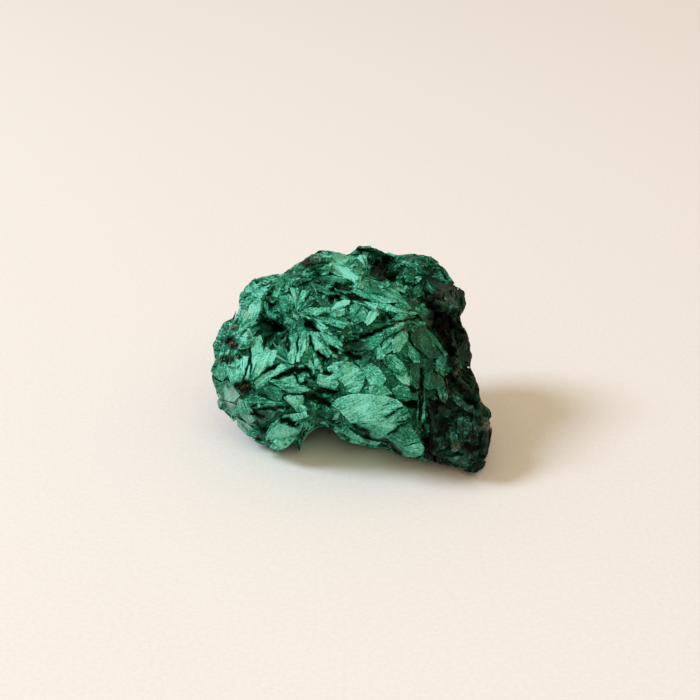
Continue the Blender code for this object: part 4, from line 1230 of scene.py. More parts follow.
def ragged_outline(outline, amount):
    """The outline with more points on it, nudged so that it looks broken."""
    points = []
    for start, end in zip(outline, outline[1:] + outline[:1]):
        run = np.array(end, float) - start
        steps = max(1, int(round(np.hypot(*run) / PLATE_STEP)))
        out = np.array((run[1], -run[0])) / np.hypot(*run)
        for step in range(steps):
            points.append(start + run * step / steps + out * pick.normal(0, amount))
    return np.array(points)


def skin_depth(places):
    met = np.array([meet(*place)[0] for place in places])
    return (met - EYE) @ AWAY - EYE_DISTANCE


def lay_plate(sheets, outline, root, lift, tone, calm):
    """A closed plate of its own outline, nearly flat, that rises away from its root."""
    edge = ragged_outline(outline, PLATE_RAGGED * (1 - calm * 0.6))
    middle = edge.mean(axis=0)
    edge = middle + (edge - middle) * PLATE_SPREAD
    count = len(edge)
    places = np.concatenate([middle + (edge - middle) * ring for ring in PLATE_RINGS])
    places = np.vstack((places, middle))
    depth = skin_depth(places)
    frame_of = np.column_stack((places - middle, np.ones(len(places))))
    fitted = frame_of @ np.linalg.lstsq(frame_of, depth, rcond=None)[0]
    level = fitted * PLATE_FLATNESS + depth * (1 - PLATE_FLATNESS)
    from_root = places - root
    reach = np.hypot(*from_root.T)
    share = (reach - reach.min()) / (reach.max() - reach.min())
    turn = np.arctan2(*(from_root.T[::-1]))
    across_fibres = turn * reach.mean() * SQUARE / MM
    along_fibres = reach * SQUARE / MM
    offset = pick.uniform(0, 1000)
    ribs = np.array([
        noise.noise(Vector((offset + u / PLATE_RIB_SIZE, v / PLATE_RIB_SIZE * 0.12, 0)))
        for u, v in zip(across_fibres, along_fibres)
    ])
    rise = lift * MM * PLATE_LIFT * (0.25 + 0.75 * share) + ribs * PLATE_RIB_HEIGHT * (1 - calm * 0.8)
    waves = np.array([
        noise.noise(Vector(((offset + x) * SQUARE, y * SQUARE, 0)) / PLATE_WAVE_SIZE)
        for x, y in places
    ])
    rise += waves * PLATE_WAVE_HEIGHT
    rim = np.zeros(len(places))
    rim[:count] = 1
    top = sight_points(places[:, 0], places[:, 1], level - rise + rim * 0.00012)
    under_places = middle + (edge - middle) * 0.94
    behind = np.maximum(level[:count], depth[:count]) + PLATE_DEPTH
    under = sight_points(under_places[:, 0], under_places[:, 1], behind)
    under_middle = sight_points(*middle, float(behind.mean()))
    first = len(sheets.verts)
    verts = list(top) + list(under) + [under_middle]
    fibres = [(offset + u, v) for u, v in zip(across_fibres, along_fibres)]
    fibres += fibres[:count] + [fibres[-1]]
    # The top gets painted highlight at its edge and grows lighter away from the root; the sides and
    # underside get painted shade.
    tones = tone + rim * PLATE_EDGE_PAINTED_HIGHLIGHT + (share - 0.5) * 0.08
    tones = list(tones) + [tone + PLATE_SIDE_PAINTED_SHADE] * (count + 1)
    faces = []
    for ring in range(len(PLATE_RINGS) - 1):
        for corner in range(count):
            after = (corner + 1) % count
            a, b = ring * count + corner, ring * count + after
            faces += [(a, b, b + count), (a, b + count, a + count)]
    last, peak = (len(PLATE_RINGS) - 1) * count, len(PLATE_RINGS) * count
    for corner in range(count):
        after = (corner + 1) % count
        faces.append((last + corner, last + after, peak))
        below, below_after = peak + 1 + corner, peak + 1 + after
        faces += [(corner, below, below_after), (corner, below_after, after)]
        faces.append((below_after, below, peak + 1 + count))
    sheets.verts += verts
    sheets.faces += [tuple(first + corner for corner in face) for face in faces]
    sheets.fibres += fibres
    sheets.tones += tones
    sheets.shares += [0.5] * len(verts)
    sheets.calm += [calm] * len(verts)
    sheets.blades += 1


plate_sheets, facet_sheets = Sheets(), Sheets()
for plate in PLATES.values():
    lay_plate(plate_sheets, *plate)
for plate in CRUST_FACETS.values():
    lay_plate(facet_sheets, *plate)
print("wide plates:", plate_sheets.blades, "facets of the crust:", facet_sheets.blades)

# %% [markdown]
# ## Rosettes on the sides, back and top
# The stone is covered with sprays all round. Their middles are spread evenly along a spiral and
# then nudged, so that they look random without leaving bare ground.

# %% Spread the rosettes
ROSETTE_COUNT = 84
ROSETTE_NUDGE = 0.35
ROSETTE_BLADES = (7, 9)
ROSETTE_REACH = (0.0055, 0.0115)
ROSETTE_TIP_WIDTH = (0.0022, 0.0048)
ROSETTE_LIFT = (0.0004, 0.0012)
EYE_SIDE = 0.30


def even_directions(count):
    golden = pi * (3 - 5**0.5)
    for number in range(count):
        height = 1 - 2 * (number + 0.5) / count
        level = (1 - height**2) ** 0.5
        yield np.array((cos(golden * number) * level, sin(golden * number) * level, height))


def skin_path(start, end):
    """A path over the skin between two points on it."""
    length = np.linalg.norm(end - start)
    count = max(4, int(round(length / STATION_PITCH / 1.4)) + 1)
    met = [find_nearest(start + (end - start) * share) for share in np.linspace(0, 1, count)]
    normals = np.array([normal for _, normal in met])
    normals = np.array([unit(normals[max(0, i - 1) : i + 2].sum(axis=0)) for i in range(count)])
    return np.array([place for place, _ in met]), normals


rosette_pick = np.random.default_rng(SEED)
rosette_sheets = Sheets()
rosette_middles = []
for direction in even_directions(ROSETTE_COUNT):
    nudge = rosette_pick.uniform(-1, 1, 3) * ROSETTE_NUDGE
    towards = unit(direction + nudge * 0.5)
    count = int(rosette_pick.integers(*ROSETTE_BLADES))
    turn = rosette_pick.uniform(0, 2 * pi)
    reaches = rosette_pick.uniform(*ROSETTE_REACH, count)
    widths = rosette_pick.uniform(*ROSETTE_TIP_WIDTH, count)
    lifts = rosette_pick.uniform(*ROSETTE_LIFT, count)
    if towards @ -AWAY > EYE_SIDE:
        continue
    hit, normal, _, _ = lump_tree.ray_cast(Vector(CENTRE + towards * STONE_WIDTH), Vector(-towards))
    first = normal.orthogonal().normalized()
    middle = np.array(hit)
    rosette_middles.append(middle)
    for number in range(count):
        for layer in range(2):
            swing = Matrix.Rotation(turn + 2 * pi * (number + 0.4 * layer) / count, 3, normal)
            reach = reaches[number] * (1 - 0.3 * layer)
            tip, _ = find_nearest(middle + np.array(swing @ first) * reach)
            path, path_normals = skin_path(middle, tip)
            if shows_past(path[-1] + path_normals[-1] * lifts[number]):
                continue
            wide = widths[number] * (1 - 0.45 * layer)
            tone = pick.normal(0, TONE_SPREAD)
            lay_blade(rosette_sheets, path, path_normals, wide, lifts[number], tone)
print("rosettes:", len(rosette_middles), "with", rosette_sheets.blades, "blades,",
      len(rosette_sheets.faces), "faces")

# %% [markdown]
# ## Short splinters between the sprays
# Between the sprays the real stone is felted with short splinters that lean the same way as the
# spray next to them. They are scattered evenly over the skin, and each points away from the
# nearest root.

# %% Scatter the short splinters
class Bundle:
    """Shapes gathered for one piece of mesh: where each lies and how big it is."""

    def __init__(self):
        self.roots = []
        self.along = []
        self.outward = []
        self.size = []

    def add(self, start, end, outward, width, thickness):
        run = end - start
        length = np.linalg.norm(run)
        self.roots.append(start)
        self.along.append(run / length)
        self.outward.append(outward)
        self.size.append((length, width, thickness))

    def arrays(self):
        return [np.array(values) for values in (self.roots, self.along, self.outward, self.size)]


FELT_COUNT = 8800
FELT_LENGTH = (0.0011, 0.0034)
FELT_WIDTH = (0.0004, 0.0013)
FELT_TILT = (0.05, 0.50)
spray_roots = [meet(*root)[0] for root, _, _ in SPRAYS.values()]
all_roots = np.array(spray_roots + rosette_middles)


def scatter(mesh, count, seed):
    """Points spread over a mesh by area, with their normals."""
    draw = np.random.default_rng(seed)
    size = len(mesh.polygons)
    areas = np.empty(size, dtype=np.float32)
    centres = np.empty(size * 3, dtype=np.float32)
    face_normals = np.empty(size * 3, dtype=np.float32)
    mesh.polygons.foreach_get("area", areas)
    mesh.polygons.foreach_get("center", centres)
    mesh.polygons.foreach_get("normal", face_normals)
    chosen = draw.choice(size, count, p=areas / areas.sum(dtype=float))
    spots_found = centres.reshape(-1, 3)[chosen].astype(float)
    return spots_found, face_normals.reshape(-1, 3)[chosen].astype(float)


def smooth_normal(place):
    return find_nearest(place)[1]


felt = Bundle()
felt_places, _ = scatter(body.data, FELT_COUNT, SEED)
felt_normals = np.array([smooth_normal(place) for place in felt_places])
felt_facing = felt_normals @ -AWAY
felt_deep, felt_slot_shade = slot_depth(*on_drawing(felt_places))
felt_crust = crust_share(felt_places, felt_facing)
for index, place in enumerate(felt_places):
    in_slot = (felt_slot_shade[index] > 0.45 and felt_facing[index] > 0) or shows_past(place, -0.5)
    if in_slot or felt_crust[index] > pick.uniform(0.3, 1.3) or place[2] < 0.0012:
        continue
    if felt_facing[index] > 0 and on_plate(*on_drawing(place)):
        continue
    gaps = place - all_roots
    nearest = gaps[np.argmin((gaps**2).sum(axis=1))]
    normal = felt_normals[index]
    along = nearest - normal * (nearest @ normal) + pick.normal(0, 0.0006, 3)
    along = unit(along - normal * (along @ normal))
    length = pick.uniform(*FELT_LENGTH)
    lean = pick.uniform(*FELT_TILT)
    start = place - normal * 0.0004
    end = start + (along + normal * lean) * length
    side = np.cross(along, normal)
    tilt = unit(normal - along * lean + side * pick.normal(0, 0.3))
    felt.add(start, end, tilt, pick.uniform(*FELT_WIDTH), pick.uniform(0.0003, 0.0006))
print("short splinters:", len(felt.roots))

# %% [markdown]
# ## Crumbs of the crust
# The right end is a dark weathered crust, broken into small crumbs. They are chips with a few
# faces each, turned at random and half sunk in the skin.

# %% Scatter the crumbs
CRUMB_COUNT = 24500
CRUMB_SIZE = (0.0003, 0.0014)
crumbs = Bundle()
crumb_places, crumb_normals = scatter(body.data, CRUMB_COUNT, SEED + 1)
crumb_crust = crust_share(crumb_places, crumb_normals @ -AWAY)
for index, place in enumerate(crumb_places):
    if crumb_crust[index] < pick.uniform(0.35, 0.75) or place[2] < 0.0012:
        continue
    if shows_past(place, -0.5):
        continue
    size = pick.uniform(*CRUMB_SIZE)
    turned = unit(pick.normal(0, 1, 3))
    level = unit(np.cross(turned, crumb_normals[index]) + 1e-6)
    start = place - turned * size * 0.5
    flat = pick.uniform(0.6, 1.1)
    crumbs.add(start, start + turned * size, level, size * flat, size * pick.uniform(0.5, 0.9))
print("crumbs:", len(crumbs.roots))

# %% [markdown]
# ## Splinter and crumb shapes
# A few dozen faces are enough for a shape that is used thousands of times. A splinter is a
# flattened six-sided stick along X that widens to its tip and ends in ragged steps. Its texture
# map runs along it, so that streaks can follow the fibres.

# %% Model the repeated shapes
SPLINTER_STATIONS = (0.0, 0.4, 0.75, 1.0)
SPLINTER_TOP = 5
SPLINTER_VARIANTS = 8
CRUMB_VARIANTS = 6


def splinter_shape(name, seed):
    draw = np.random.default_rng(seed)
    bm = bmesh.new()
    uv_layer = bm.loops.layers.uv.new("fibres")
    edge = np.linspace(-0.5, 0.5, SPLINTER_TOP)
    roof = 0.5 - np.abs(edge) * 0.7 + draw.uniform(-0.15, 0.15, SPLINTER_TOP)
    ragged = draw.uniform(-0.30, 0.04, SPLINTER_TOP)
    rings = []
    for share in SPLINTER_STATIONS:
        wide = 0.3 + 0.7 * share
        ends = ragged if share == 1 else ragged * 0.0
        ring = [
            bm.verts.new((share + end, across * wide, high * (0.6 + 0.4 * share)))
            for across, high, end in zip(edge, roof, ends)
        ]
        ring.append(bm.verts.new((share * 0.85, 0, -0.5)))
        rings.append(ring)
    size = SPLINTER_TOP + 1
    for lower, upper in zip(rings, rings[1:]):
        for corner in range(size):
            after = (corner + 1) % size
            bm.faces.new((lower[corner], lower[after], upper[after], upper[corner]))
    bm.faces.new(rings[0][::-1])
    bm.faces.new(rings[-1])
    bmesh.ops.recalc_face_normals(bm, faces=bm.faces)
    bmesh.ops.triangulate(bm, faces=bm.faces)
    for face in bm.faces:
        for loop in face.loops:
            loop[uv_layer].uv = (loop.vert.co.y * 1.2 + seed * 7, loop.vert.co.x * 3)
    return new_object(name, bm)


def crumb_shape(name, seed):
    draw = np.random.default_rng(seed)
    bm = bmesh.new()
    bmesh.ops.create_icosphere(bm, subdivisions=1, radius=0.5)
    for vert in bm.verts:
        vert.co *= draw.uniform(0.7, 1.25)
        vert.co.x += 0.5
    uv_layer = bm.loops.layers.uv.new("fibres")
    for face in bm.faces:
        for loop in face.loops:
            loop[uv_layer].uv = (loop.vert.co.y + seed * 7, loop.vert.co.x)
    return new_object(name, bm)


def shape_box(name, make, count):
    """A collection of shape variants for the scattering tree."""
    box = bpy.data.collections.new(name)
    for number in range(count):
        shape = make(f"{name} {number}", SEED + number)
        bpy.context.scene.collection.objects.unlink(shape)
        box.objects.link(shape)
    return box


splinter_box = shape_box("splinter shapes", splinter_shape, SPLINTER_VARIANTS)
crumb_box = shape_box("crumb shapes", crumb_shape, CRUMB_VARIANTS)

# %% [markdown]
# ## Place the shapes with Geometry Nodes
# Every splinter and crumb is one point of a mesh that carries its direction, its size and its
# marks. A Geometry Nodes tree puts a shape on each point, turns it along the fibre and up from
# the skin, and stretches it to size. That keeps the placing rule in one place, and the same tree
# serves the short splinters and the crumbs.

# %% Build the placing tree
def placing_tree():
    tree = bpy.data.node_groups.new("place shapes along fibres", "GeometryNodeTree")
    face = tree.interface
    face.new_socket("Points", in_out="INPUT", socket_type="NodeSocketGeometry")
    face.new_socket("Shapes", in_out="INPUT", socket_type="NodeSocketCollection")
    face.new_socket("Thickness", in_out="INPUT", socket_type="NodeSocketFloat")
    face.new_socket("Seed", in_out="INPUT", socket_type="NodeSocketInt")
    face.new_socket("Material", in_out="INPUT", socket_type="NodeSocketMaterial")
    face.new_socket("Mesh", in_out="OUTPUT", socket_type="NodeSocketGeometry")
    nodes, links = tree.nodes, tree.links
    given = nodes.new("NodeGroupInput")
    made = nodes.new("NodeGroupOutput")

    def named(name, kind="FLOAT_VECTOR"):
        read = nodes.new("GeometryNodeInputNamedAttribute")
        read.data_type = kind
        read.inputs["Name"].default_value = name
        return read.outputs["Attribute"]

    turn = nodes.new("FunctionNodeAxesToRotation")
    turn.primary_axis = "X"
    turn.secondary_axis = "Z"
    links.new(named("along"), turn.inputs["Primary Axis"])
    links.new(named("outward"), turn.inputs["Secondary Axis"])

    shapes = nodes.new("GeometryNodeCollectionInfo")
    shapes.inputs["Separate Children"].default_value = True
    shapes.inputs["Reset Children"].default_value = True
    links.new(given.outputs["Shapes"], shapes.inputs["Collection"])

    chance = nodes.new("FunctionNodeRandomValue")
    chance.data_type = "INT"
    chance.inputs["Min"].default_value = 0
    chance.inputs["Max"].default_value = SPLINTER_VARIANTS * CRUMB_VARIANTS - 1
    links.new(given.outputs["Seed"], chance.inputs["Seed"])

    thickness = nodes.new("ShaderNodeCombineXYZ")
    thickness.inputs["X"].default_value = 1
    thickness.inputs["Y"].default_value = 1
    links.new(given.outputs["Thickness"], thickness.inputs["Z"])
    stretch = nodes.new("ShaderNodeVectorMath")
    stretch.operation = "MULTIPLY"
    links.new(named("size"), stretch.inputs[0])
    links.new(thickness.outputs["Vector"], stretch.inputs[1])

    place = nodes.new("GeometryNodeInstanceOnPoints")
    place.inputs["Pick Instance"].default_value = True
    links.new(given.outputs["Points"], place.inputs["Points"])
    links.new(shapes.outputs["Instances"], place.inputs["Instance"])
    links.new(chance.outputs["Value"], place.inputs["Instance Index"])
    links.new(turn.outputs["Rotation"], place.inputs["Rotation"])
    links.new(stretch.outputs["Vector"], place.inputs["Scale"])

    real = nodes.new("GeometryNodeRealizeInstances")
    paint = nodes.new("GeometryNodeSetMaterial")
    links.new(place.outputs["Instances"], real.inputs["Geometry"])
    links.new(real.outputs["Geometry"], paint.inputs["Geometry"])
    links.new(given.outputs["Material"], paint.inputs["Material"])
    links.new(paint.outputs["Geometry"], made.inputs["Mesh"])
    return tree


PLACING = placing_tree()
print("placing tree:", len(PLACING.nodes), "nodes")

# %% Turn a bundle into a mesh
# Painted highlight towards each blade's tip and painted shade towards its root.
TIP_HIGHLIGHT_ROOT_SHADE = 0.22


def place_shapes(name, bundle, shapes, material, facing_of, thickness=1.0, keep=None):
    roots, along, outward, size = bundle.arrays()
    if keep is not None:
        roots, along, outward, size = roots[keep], along[keep], outward[keep], size[keep]
    middles = roots + along * size[:, :1] * 0.5
    mesh = bpy.data.meshes.new(name + " points")
    mesh.from_pydata(roots.tolist(), [], [])
    values = marks(middles, facing_of(middles))
    tones = np.random.default_rng(SEED + len(roots)).normal(0, TONE_SPREAD, len(roots))
    values.update(along=along, outward=outward, size=size, tone=tones)
    store(mesh, values)
    points = bpy.data.objects.new(name + " points", mesh)
    bpy.context.scene.collection.objects.link(points)
    growth = points.modifiers.new("place shapes", "NODES")
    growth.node_group = PLACING
    sockets = {item.name: item.identifier for item in PLACING.interface.items_tree}
    growth[sockets["Shapes"]] = shapes
    growth[sockets["Thickness"]] = thickness
    growth[sockets["Seed"]] = SEED
    growth[sockets["Material"]] = material
    graph = bpy.context.evaluated_depsgraph_get()
    made = bpy.data.meshes.new_from_object(points.evaluated_get(graph), depsgraph=graph)
    bpy.data.objects.remove(points)
    for spare in ("along", "outward", "size"):
        if spare in made.attributes:
            made.attributes.remove(made.attributes[spare])
    piece = bpy.data.objects.new(name, made)
    bpy.context.scene.collection.objects.link(piece)
    rest_on_floor(piece)
    print(name + ":", len(roots), "shapes,", len(made.polygons), "faces")
    return piece


def sheet_mesh(name, sheets, material, facing_of, crust_kept=1.0):
    """One mesh of all the blades of a group."""
    mesh = bpy.data.meshes.new(name)
    verts = np.array(sheets.verts)
    mesh.from_pydata(verts.tolist(), [], sheets.faces)
    corners = np.empty(len(mesh.loops), dtype=np.int32)
    mesh.loops.foreach_get("vertex_index", corners)
    fibres = np.array(sheets.fibres, dtype=np.float32)[:, :2]
    layer = mesh.uv_layers.new(name="fibres")
    layer.data.foreach_set("uv", fibres[corners].ravel())
    values = marks(verts, facing_of(verts))
    values["tone"] = np.array(sheets.tones) + TIP_HIGHLIGHT_ROOT_SHADE * (np.array(sheets.shares) - 0.5)
    values["calm"] = np.array(sheets.calm)
    values["crust"] = values["crust"] * crust_kept
    store(mesh, values)
    bm = bmesh.new()
    bm.from_mesh(mesh)
    bmesh.ops.recalc_face_normals(bm, faces=bm.faces)
    bm.to_mesh(mesh)
    bm.free()
    mesh.materials.append(material)
    piece = bpy.data.objects.new(name, mesh)
    bpy.context.scene.collection.objects.link(piece)
    rest_on_floor(piece)
    print(name + ":", sheets.blades, "blades,", len(mesh.polygons), "faces")
    return piece


def rest_on_floor(piece):
    """Nothing of the stone reaches below what it stands on, or past its outline."""
    places = clear_arch(trim_to_outline(as_array(piece.data, "co")))
    deep, _ = slot_depth(*on_drawing(places))
    front = np.clip(as_array(piece.data, "normal") @ -AWAY * 2 + 0.8, 0, 1)
    near = np.clip(1 - ((places - CENTRE) @ AWAY + 0.004) / 0.006, 0, 1)
    places += AWAY * (deep * front * near * MM)[:, None]
    places[:, 2] = np.maximum(places[:, 2], cad_low.z)
    piece.data.vertices.foreach_set("co", places.ravel())
    piece.data.update()


def skin_facing(middles):
    """How much the skin below places looks towards the eye."""
    return np.array([find_nearest(middle)[1] for middle in middles]) @ -AWAY


# %% [markdown]
# ## Malachite's finish
# Real malachite is banded green, and a broken spray of it shines like silk along its fibres. So
# the colour runs in fine streaks along each splinter, partly the fibres' own banding and partly
# painted sheen, and each splinter has its own tone. The deep places between them get painted
# shade that makes them nearly black green, and bright specks are painted on as glints. The colour
# ramp is the same for the skin and the splinters, so nothing looks laid on.

# %% Mix the green
# Lightness from 0 to 1, and the green there, in linear light.
GREENS = (
    (0.00, (0.0002, 0.0110, 0.0040)),
    (0.22, (0.0005, 0.0370, 0.0150)),
    (0.45, (0.0030, 0.1150, 0.0540)),
    (0.62, (0.0100, 0.2450, 0.1320)),
    (0.80, (0.0420, 0.4400, 0.2700)),
    (1.00, (0.2400, 0.7600, 0.5800)),
)
CRUST_GREENS = (
    (0.20, (0.0001, 0.0006, 0.0003)),
    (0.42, (0.0004, 0.0075, 0.0030)),
    (0.58, (0.0025, 0.0370, 0.0175)),
    (0.75, (0.0090, 0.0950, 0.0500)),
    (0.95, (0.0700, 0.2100, 0.1400)),
)
CRUST_GREY = (0.0450, 0.0560, 0.0440, 1)
# The pale colour of dust and of painted sheen on the lit edges.
DUST_AND_SHEEN = (0.4300, 0.6200, 0.5200, 1)
TAN = (0.4200, 0.3700, 0.2300, 1)
DARK_BROWN = (0.0340, 0.0270, 0.0180, 1)


class Mixer:
    """Short ways to add nodes to a material."""

    def __init__(self, name):
        self.material = bpy.data.materials.new(name)
        self.material.use_nodes = True
        self.tree = self.material.node_tree
        self.tree.nodes.clear()
        output = self.tree.nodes.new("ShaderNodeOutputMaterial")
        self.shader = self.tree.nodes.new("ShaderNodeBsdfPrincipled")
        self.link(self.shader.outputs["BSDF"], output.inputs["Surface"])

    def link(self, source, target):
        self.tree.links.new(source, target)

    def put(self, value, socket):
        if isinstance(value, bpy.types.NodeSocket):
            self.link(value, socket)
        else:
            socket.default_value = value

    def mark(self, name):
        node = self.tree.nodes.new("ShaderNodeAttribute")
        node.attribute_name = name
        return node.outputs["Fac"]

    def sum(self, operation, first, second=0.0, clamp=False):
        node = self.tree.nodes.new("ShaderNodeMath")
        node.operation = operation
        node.use_clamp = clamp
        self.put(first, node.inputs[0])
        self.put(second, node.inputs[1])
        return node.outputs[0]

    def scaled(self, value, low, high, new_low, new_high):
        node = self.tree.nodes.new("ShaderNodeMapRange")
        self.put(value, node.inputs["Value"])
        for name, number in zip(
            ("From Min", "From Max", "To Min", "To Max"), (low, high, new_low, new_high)
        ):
            node.inputs[name].default_value = number
        return node.outputs["Result"]

    def noise(self, place, size, detail=3.0, roughness=0.6):
        node = self.tree.nodes.new("ShaderNodeTexNoise")
        self.link(place, node.inputs["Vector"])
        node.inputs["Scale"].default_value = 1 / size
        node.inputs["Detail"].default_value = detail
        node.inputs["Roughness"].default_value = roughness
        return node.outputs["Fac"]

    def mix(self, share, first, second):
        node = self.tree.nodes.new("ShaderNodeMix")
        node.data_type = "RGBA"
        self.put(share, node.inputs["Factor"])
        self.put(first, node.inputs["A"])
        self.put(second, node.inputs["B"])
        return node.outputs["Result"]

    def ramp(self, value, stops):
        node = self.tree.nodes.new("ShaderNodeValToRGB")
        while len(node.color_ramp.elements) < len(stops):
            node.color_ramp.elements.new(0.5)
        for element, (position, colour) in zip(node.color_ramp.elements, stops):
            element.position = position
            element.color = (*colour, 1)
        self.link(value, node.inputs["Fac"])
        return node.outputs["Color"]

    def patchy(self, share, grain, most):
        """A share broken into patches by a grain, so that its edge is never a smooth fade."""
        over = self.sum("SUBTRACT", self.sum("ADD", share, grain), 1.0)
        return self.scaled(over, -0.12, 0.12, 0.0, most)

    def coordinates(self, kind):
        return self.tree.nodes.new("ShaderNodeTexCoord").outputs[kind]


LIGHT_GAIN = 1.40
LIGHT_SHIFT = -0.14
STREAKS_ACROSS = 3.2
STREAKS_ALONG = 0.35
SPLITS_ACROSS = 1.3
SPLITS_ALONG = 0.16
PAINTED_GLINT_SIZE = 0.00045


def malachite_finish(name, streaked):
    """The stone's finish; streaked follows the texture map of a splinter."""
    mix = Mixer(name)
    place = mix.coordinates("Object")
    mottle = mix.noise(place, 0.0026)
    fine = mix.noise(place, 0.00038, detail=3.0, roughness=0.75)
    light = mix.sum("ADD", mix.mark("light"), mix.scaled(mottle, 0.3, 0.7, -0.10, 0.10))
    light = mix.sum("ADD", light, mix.scaled(fine, 0.36, 0.64, -0.15, 0.15))
    height = fine
    if streaked:
        light = mix.sum("ADD", light, mix.mark("tone"))
        # Streaks along the fibres: the fibres' own banding and painted sheen.
        squeeze = mix.tree.nodes.new("ShaderNodeMapping")
        squeeze.inputs["Scale"].default_value = (STREAKS_ACROSS, STREAKS_ALONG, 1.0)
        mix.link(mix.coordinates("UV"), squeeze.inputs["Vector"])
        streaks = mix.noise(squeeze.outputs["Vector"], 1.0, detail=4.0, roughness=0.75)
        strong = mix.scaled(mix.mark("calm"), 0, 1, 1.0, 0.35)
        streak_tone_and_sheen = mix.sum("MULTIPLY", mix.scaled(streaks, 0.38, 0.62, -0.17, 0.17), strong)
        light = mix.sum("ADD", light, streak_tone_and_sheen)
        # Thin splits along the fibres get painted shade.
        split = mix.tree.nodes.new("ShaderNodeMapping")
        split.inputs["Scale"].default_value = (SPLITS_ACROSS, SPLITS_ALONG, 1.0)
        mix.link(mix.coordinates("UV"), split.inputs["Vector"])
        splits = mix.noise(split.outputs["Vector"], 1.0, detail=2.0, roughness=0.5)
        split_painted_shade = mix.sum("MULTIPLY", mix.scaled(splits, 0.33, 0.41, -0.34, 0.0), strong)
        light = mix.sum("ADD", light, split_painted_shade)
        height = mix.sum("ADD", height, mix.sum("MULTIPLY", streaks, 1.6))
    light = mix.sum("ADD", mix.sum("MULTIPLY", light, LIGHT_GAIN), LIGHT_SHIFT)
    # Painted glints: bright specks added to the lightness.
    painted_glint = mix.noise(place, PAINTED_GLINT_SIZE, detail=1.0, roughness=0.5)
    light = mix.sum("ADD", light, mix.scaled(painted_glint, 0.60, 0.72, 0.0, 0.30))
    colour = mix.ramp(light, GREENS)
    grime = mix.noise(place, 0.0011, detail=4.0, roughness=0.7)
    # Pale dust, with painted sheen on the lit edges.
    colour = mix.mix(mix.patchy(mix.mark("dust_and_sheen"), grime, 0.42), colour, DUST_AND_SHEEN)
    lumps = mix.noise(place, 0.0019, detail=3.0, roughness=0.65)
    crust_light = mix.sum("ADD", mix.scaled(lumps, 0.3, 0.7, 0.22, 0.70), mix.mark("light"))
    crust_light = mix.sum("ADD", crust_light, mix.scaled(fine, 0.36, 0.64, -0.67, -0.37))
    weathered = mix.patchy(mix.mark("grey"), grime, 0.7)
    crust_colour = mix.mix(weathered, mix.ramp(crust_light, CRUST_GREENS), CRUST_GREY)
    crust_share = mix.patchy(mix.mark("crust"), grime, 1.0)
    colour = mix.mix(crust_share, colour, crust_colour)
    brown = mix.mix(mix.scaled(fine, 0.49, 0.63, 0, 1), DARK_BROWN, TAN)
    colour = mix.mix(mix.patchy(mix.mark("stain"), grime, 0.95), colour, brown)
    mix.link(colour, mix.shader.inputs["Base Color"])
    rough = mix.scaled(fine, 0.3, 0.7, 0.60, 0.36)
    rough = mix.sum("ADD", rough, mix.sum("MULTIPLY", mix.mark("crust"), 0.25), True)
    mix.link(rough, mix.shader.inputs["Roughness"])
    mix.shader.inputs["Specular IOR Level"].default_value = 0.24
    bump = mix.tree.nodes.new("ShaderNodeBump")
    bump.inputs["Strength"].default_value = 0.9
    bump.inputs["Distance"].default_value = 0.00022
    mix.link(height, bump.inputs["Height"])
    mix.link(bump.outputs["Normal"], mix.shader.inputs["Normal"])
    return mix.material


skin_finish = malachite_finish("malachite skin", streaked=False)
fibre_finish = malachite_finish("silky malachite fibres", streaked=True)
print("finishes:", skin_finish.name, "and", fibre_finish.name)

# %% Grow the pieces
body.data.materials.append(skin_finish)
for polygon_flag in body.data.polygons:
    polygon_flag.use_smooth = False


def all_front(middles):
    return np.ones(len(middles))


pieces = [
    sheet_mesh("front_sprays", front_sheets, fibre_finish, all_front),
    sheet_mesh("wide_plates", plate_sheets, fibre_finish, all_front, 0.3),
    sheet_mesh("crust_facets", facet_sheets, fibre_finish, all_front, 0.62),
    sheet_mesh("side_and_back_rosettes", rosette_sheets, fibre_finish, skin_facing),
    place_shapes("short_splinters", felt, splinter_box, fibre_finish, skin_facing),
    place_shapes("crust_crumbs", crumbs, crumb_box, fibre_finish, skin_facing),
]
for spare_box in (splinter_box, crumb_box):
    for shape in list(spare_box.objects):
        bpy.data.objects.remove(shape)
    bpy.data.collections.remove(spare_box)

# %% [markdown]
# ## Floor, light and camera
# A pale sheet with a little paper grain lies under the stone. One large soft light stands high on
# the left, so that the fibres there shine and the crust on the right stays in shade.

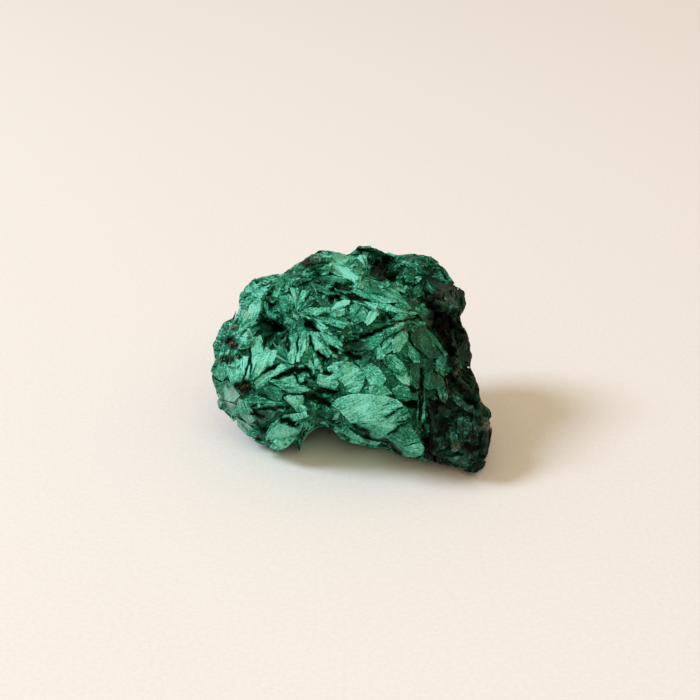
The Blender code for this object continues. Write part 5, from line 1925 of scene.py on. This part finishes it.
# %% Lay the floor
FLOOR_SIZE = 3.0
floor_mix = Mixer("pale paper")
floor_grain = floor_mix.noise(floor_mix.coordinates("Object"), 0.0009, detail=4.0)
floor_colour = floor_mix.mix(
    floor_mix.scaled(floor_grain, 0.3, 0.7, 0, 1), (0.88, 0.84, 0.79, 1), (0.94, 0.90, 0.85, 1)
)
floor_mix.link(floor_colour, floor_mix.shader.inputs["Base Color"])
floor_mix.shader.inputs["Roughness"].default_value = 0.9
floor_bump = floor_mix.tree.nodes.new("ShaderNodeBump")
floor_bump.inputs["Strength"].default_value = 0.25
floor_bump.inputs["Distance"].default_value = 0.0002
floor_mix.link(floor_grain, floor_bump.inputs["Height"])
floor_mix.link(floor_bump.outputs["Normal"], floor_mix.shader.inputs["Normal"])
floor_bm = bmesh.new()
bmesh.ops.create_grid(floor_bm, x_segments=1, y_segments=1, size=FLOOR_SIZE / 2)
floor = new_object("paper_floor", floor_bm)
floor.data.materials.append(floor_mix.material)
floor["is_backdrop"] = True

# %% Light it
world = bpy.data.worlds.new("soft room")
world.use_nodes = True
world.node_tree.nodes["Background"].inputs["Color"].default_value = (1.0, 0.82, 0.58, 1)
world.node_tree.nodes["Background"].inputs["Strength"].default_value = 0.53
bpy.context.scene.world = world
bpy.context.scene.view_settings.view_transform = "Standard"


def soft_light(name, place, size, power, colour):
    light = bpy.data.lights.new(name, "AREA")
    light.shape = "DISK"
    light.size = size
    light.energy = power
    light.color = colour
    lamp = bpy.data.objects.new(name, light)
    bpy.context.scene.collection.objects.link(lamp)
    lamp.location = place
    lamp.rotation_euler = (Vector(CENTRE) - Vector(place)).to_track_quat("-Z", "Y").to_euler()
    return lamp


soft_light("window light", (-1.20, -0.10, 1.20), 0.60, 22.0, (0.68, 0.80, 1.0))
soft_light("room light", (0.25, -1.30, 1.30), 1.30, 7.5, (1.0, 0.86, 0.68))
print("lights set")

# %% Set the camera at the eye point
AIM_DOWN = 7
FOCAL_LENGTH = 85
view = bpy.data.cameras.new("camera")
view.lens = FOCAL_LENGTH
view.sensor_width = 36
camera = bpy.data.objects.new("camera", view)
bpy.context.scene.collection.objects.link(camera)
camera.location = EYE
aim = Vector(CENTRE + UPWARD * AIM_DOWN * SQUARE)
camera.rotation_euler = (aim - Vector(EYE)).to_track_quat("-Z", "Y").to_euler()
bpy.context.scene.camera = camera

# %% Fix every piece to the stone and print its size
for piece in [body] + pieces:
    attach(piece, "root")
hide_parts("malachite_specimen")
low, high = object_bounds()
print("visual box, in mm:", [round(side * 1000, 1) for side in high - low])
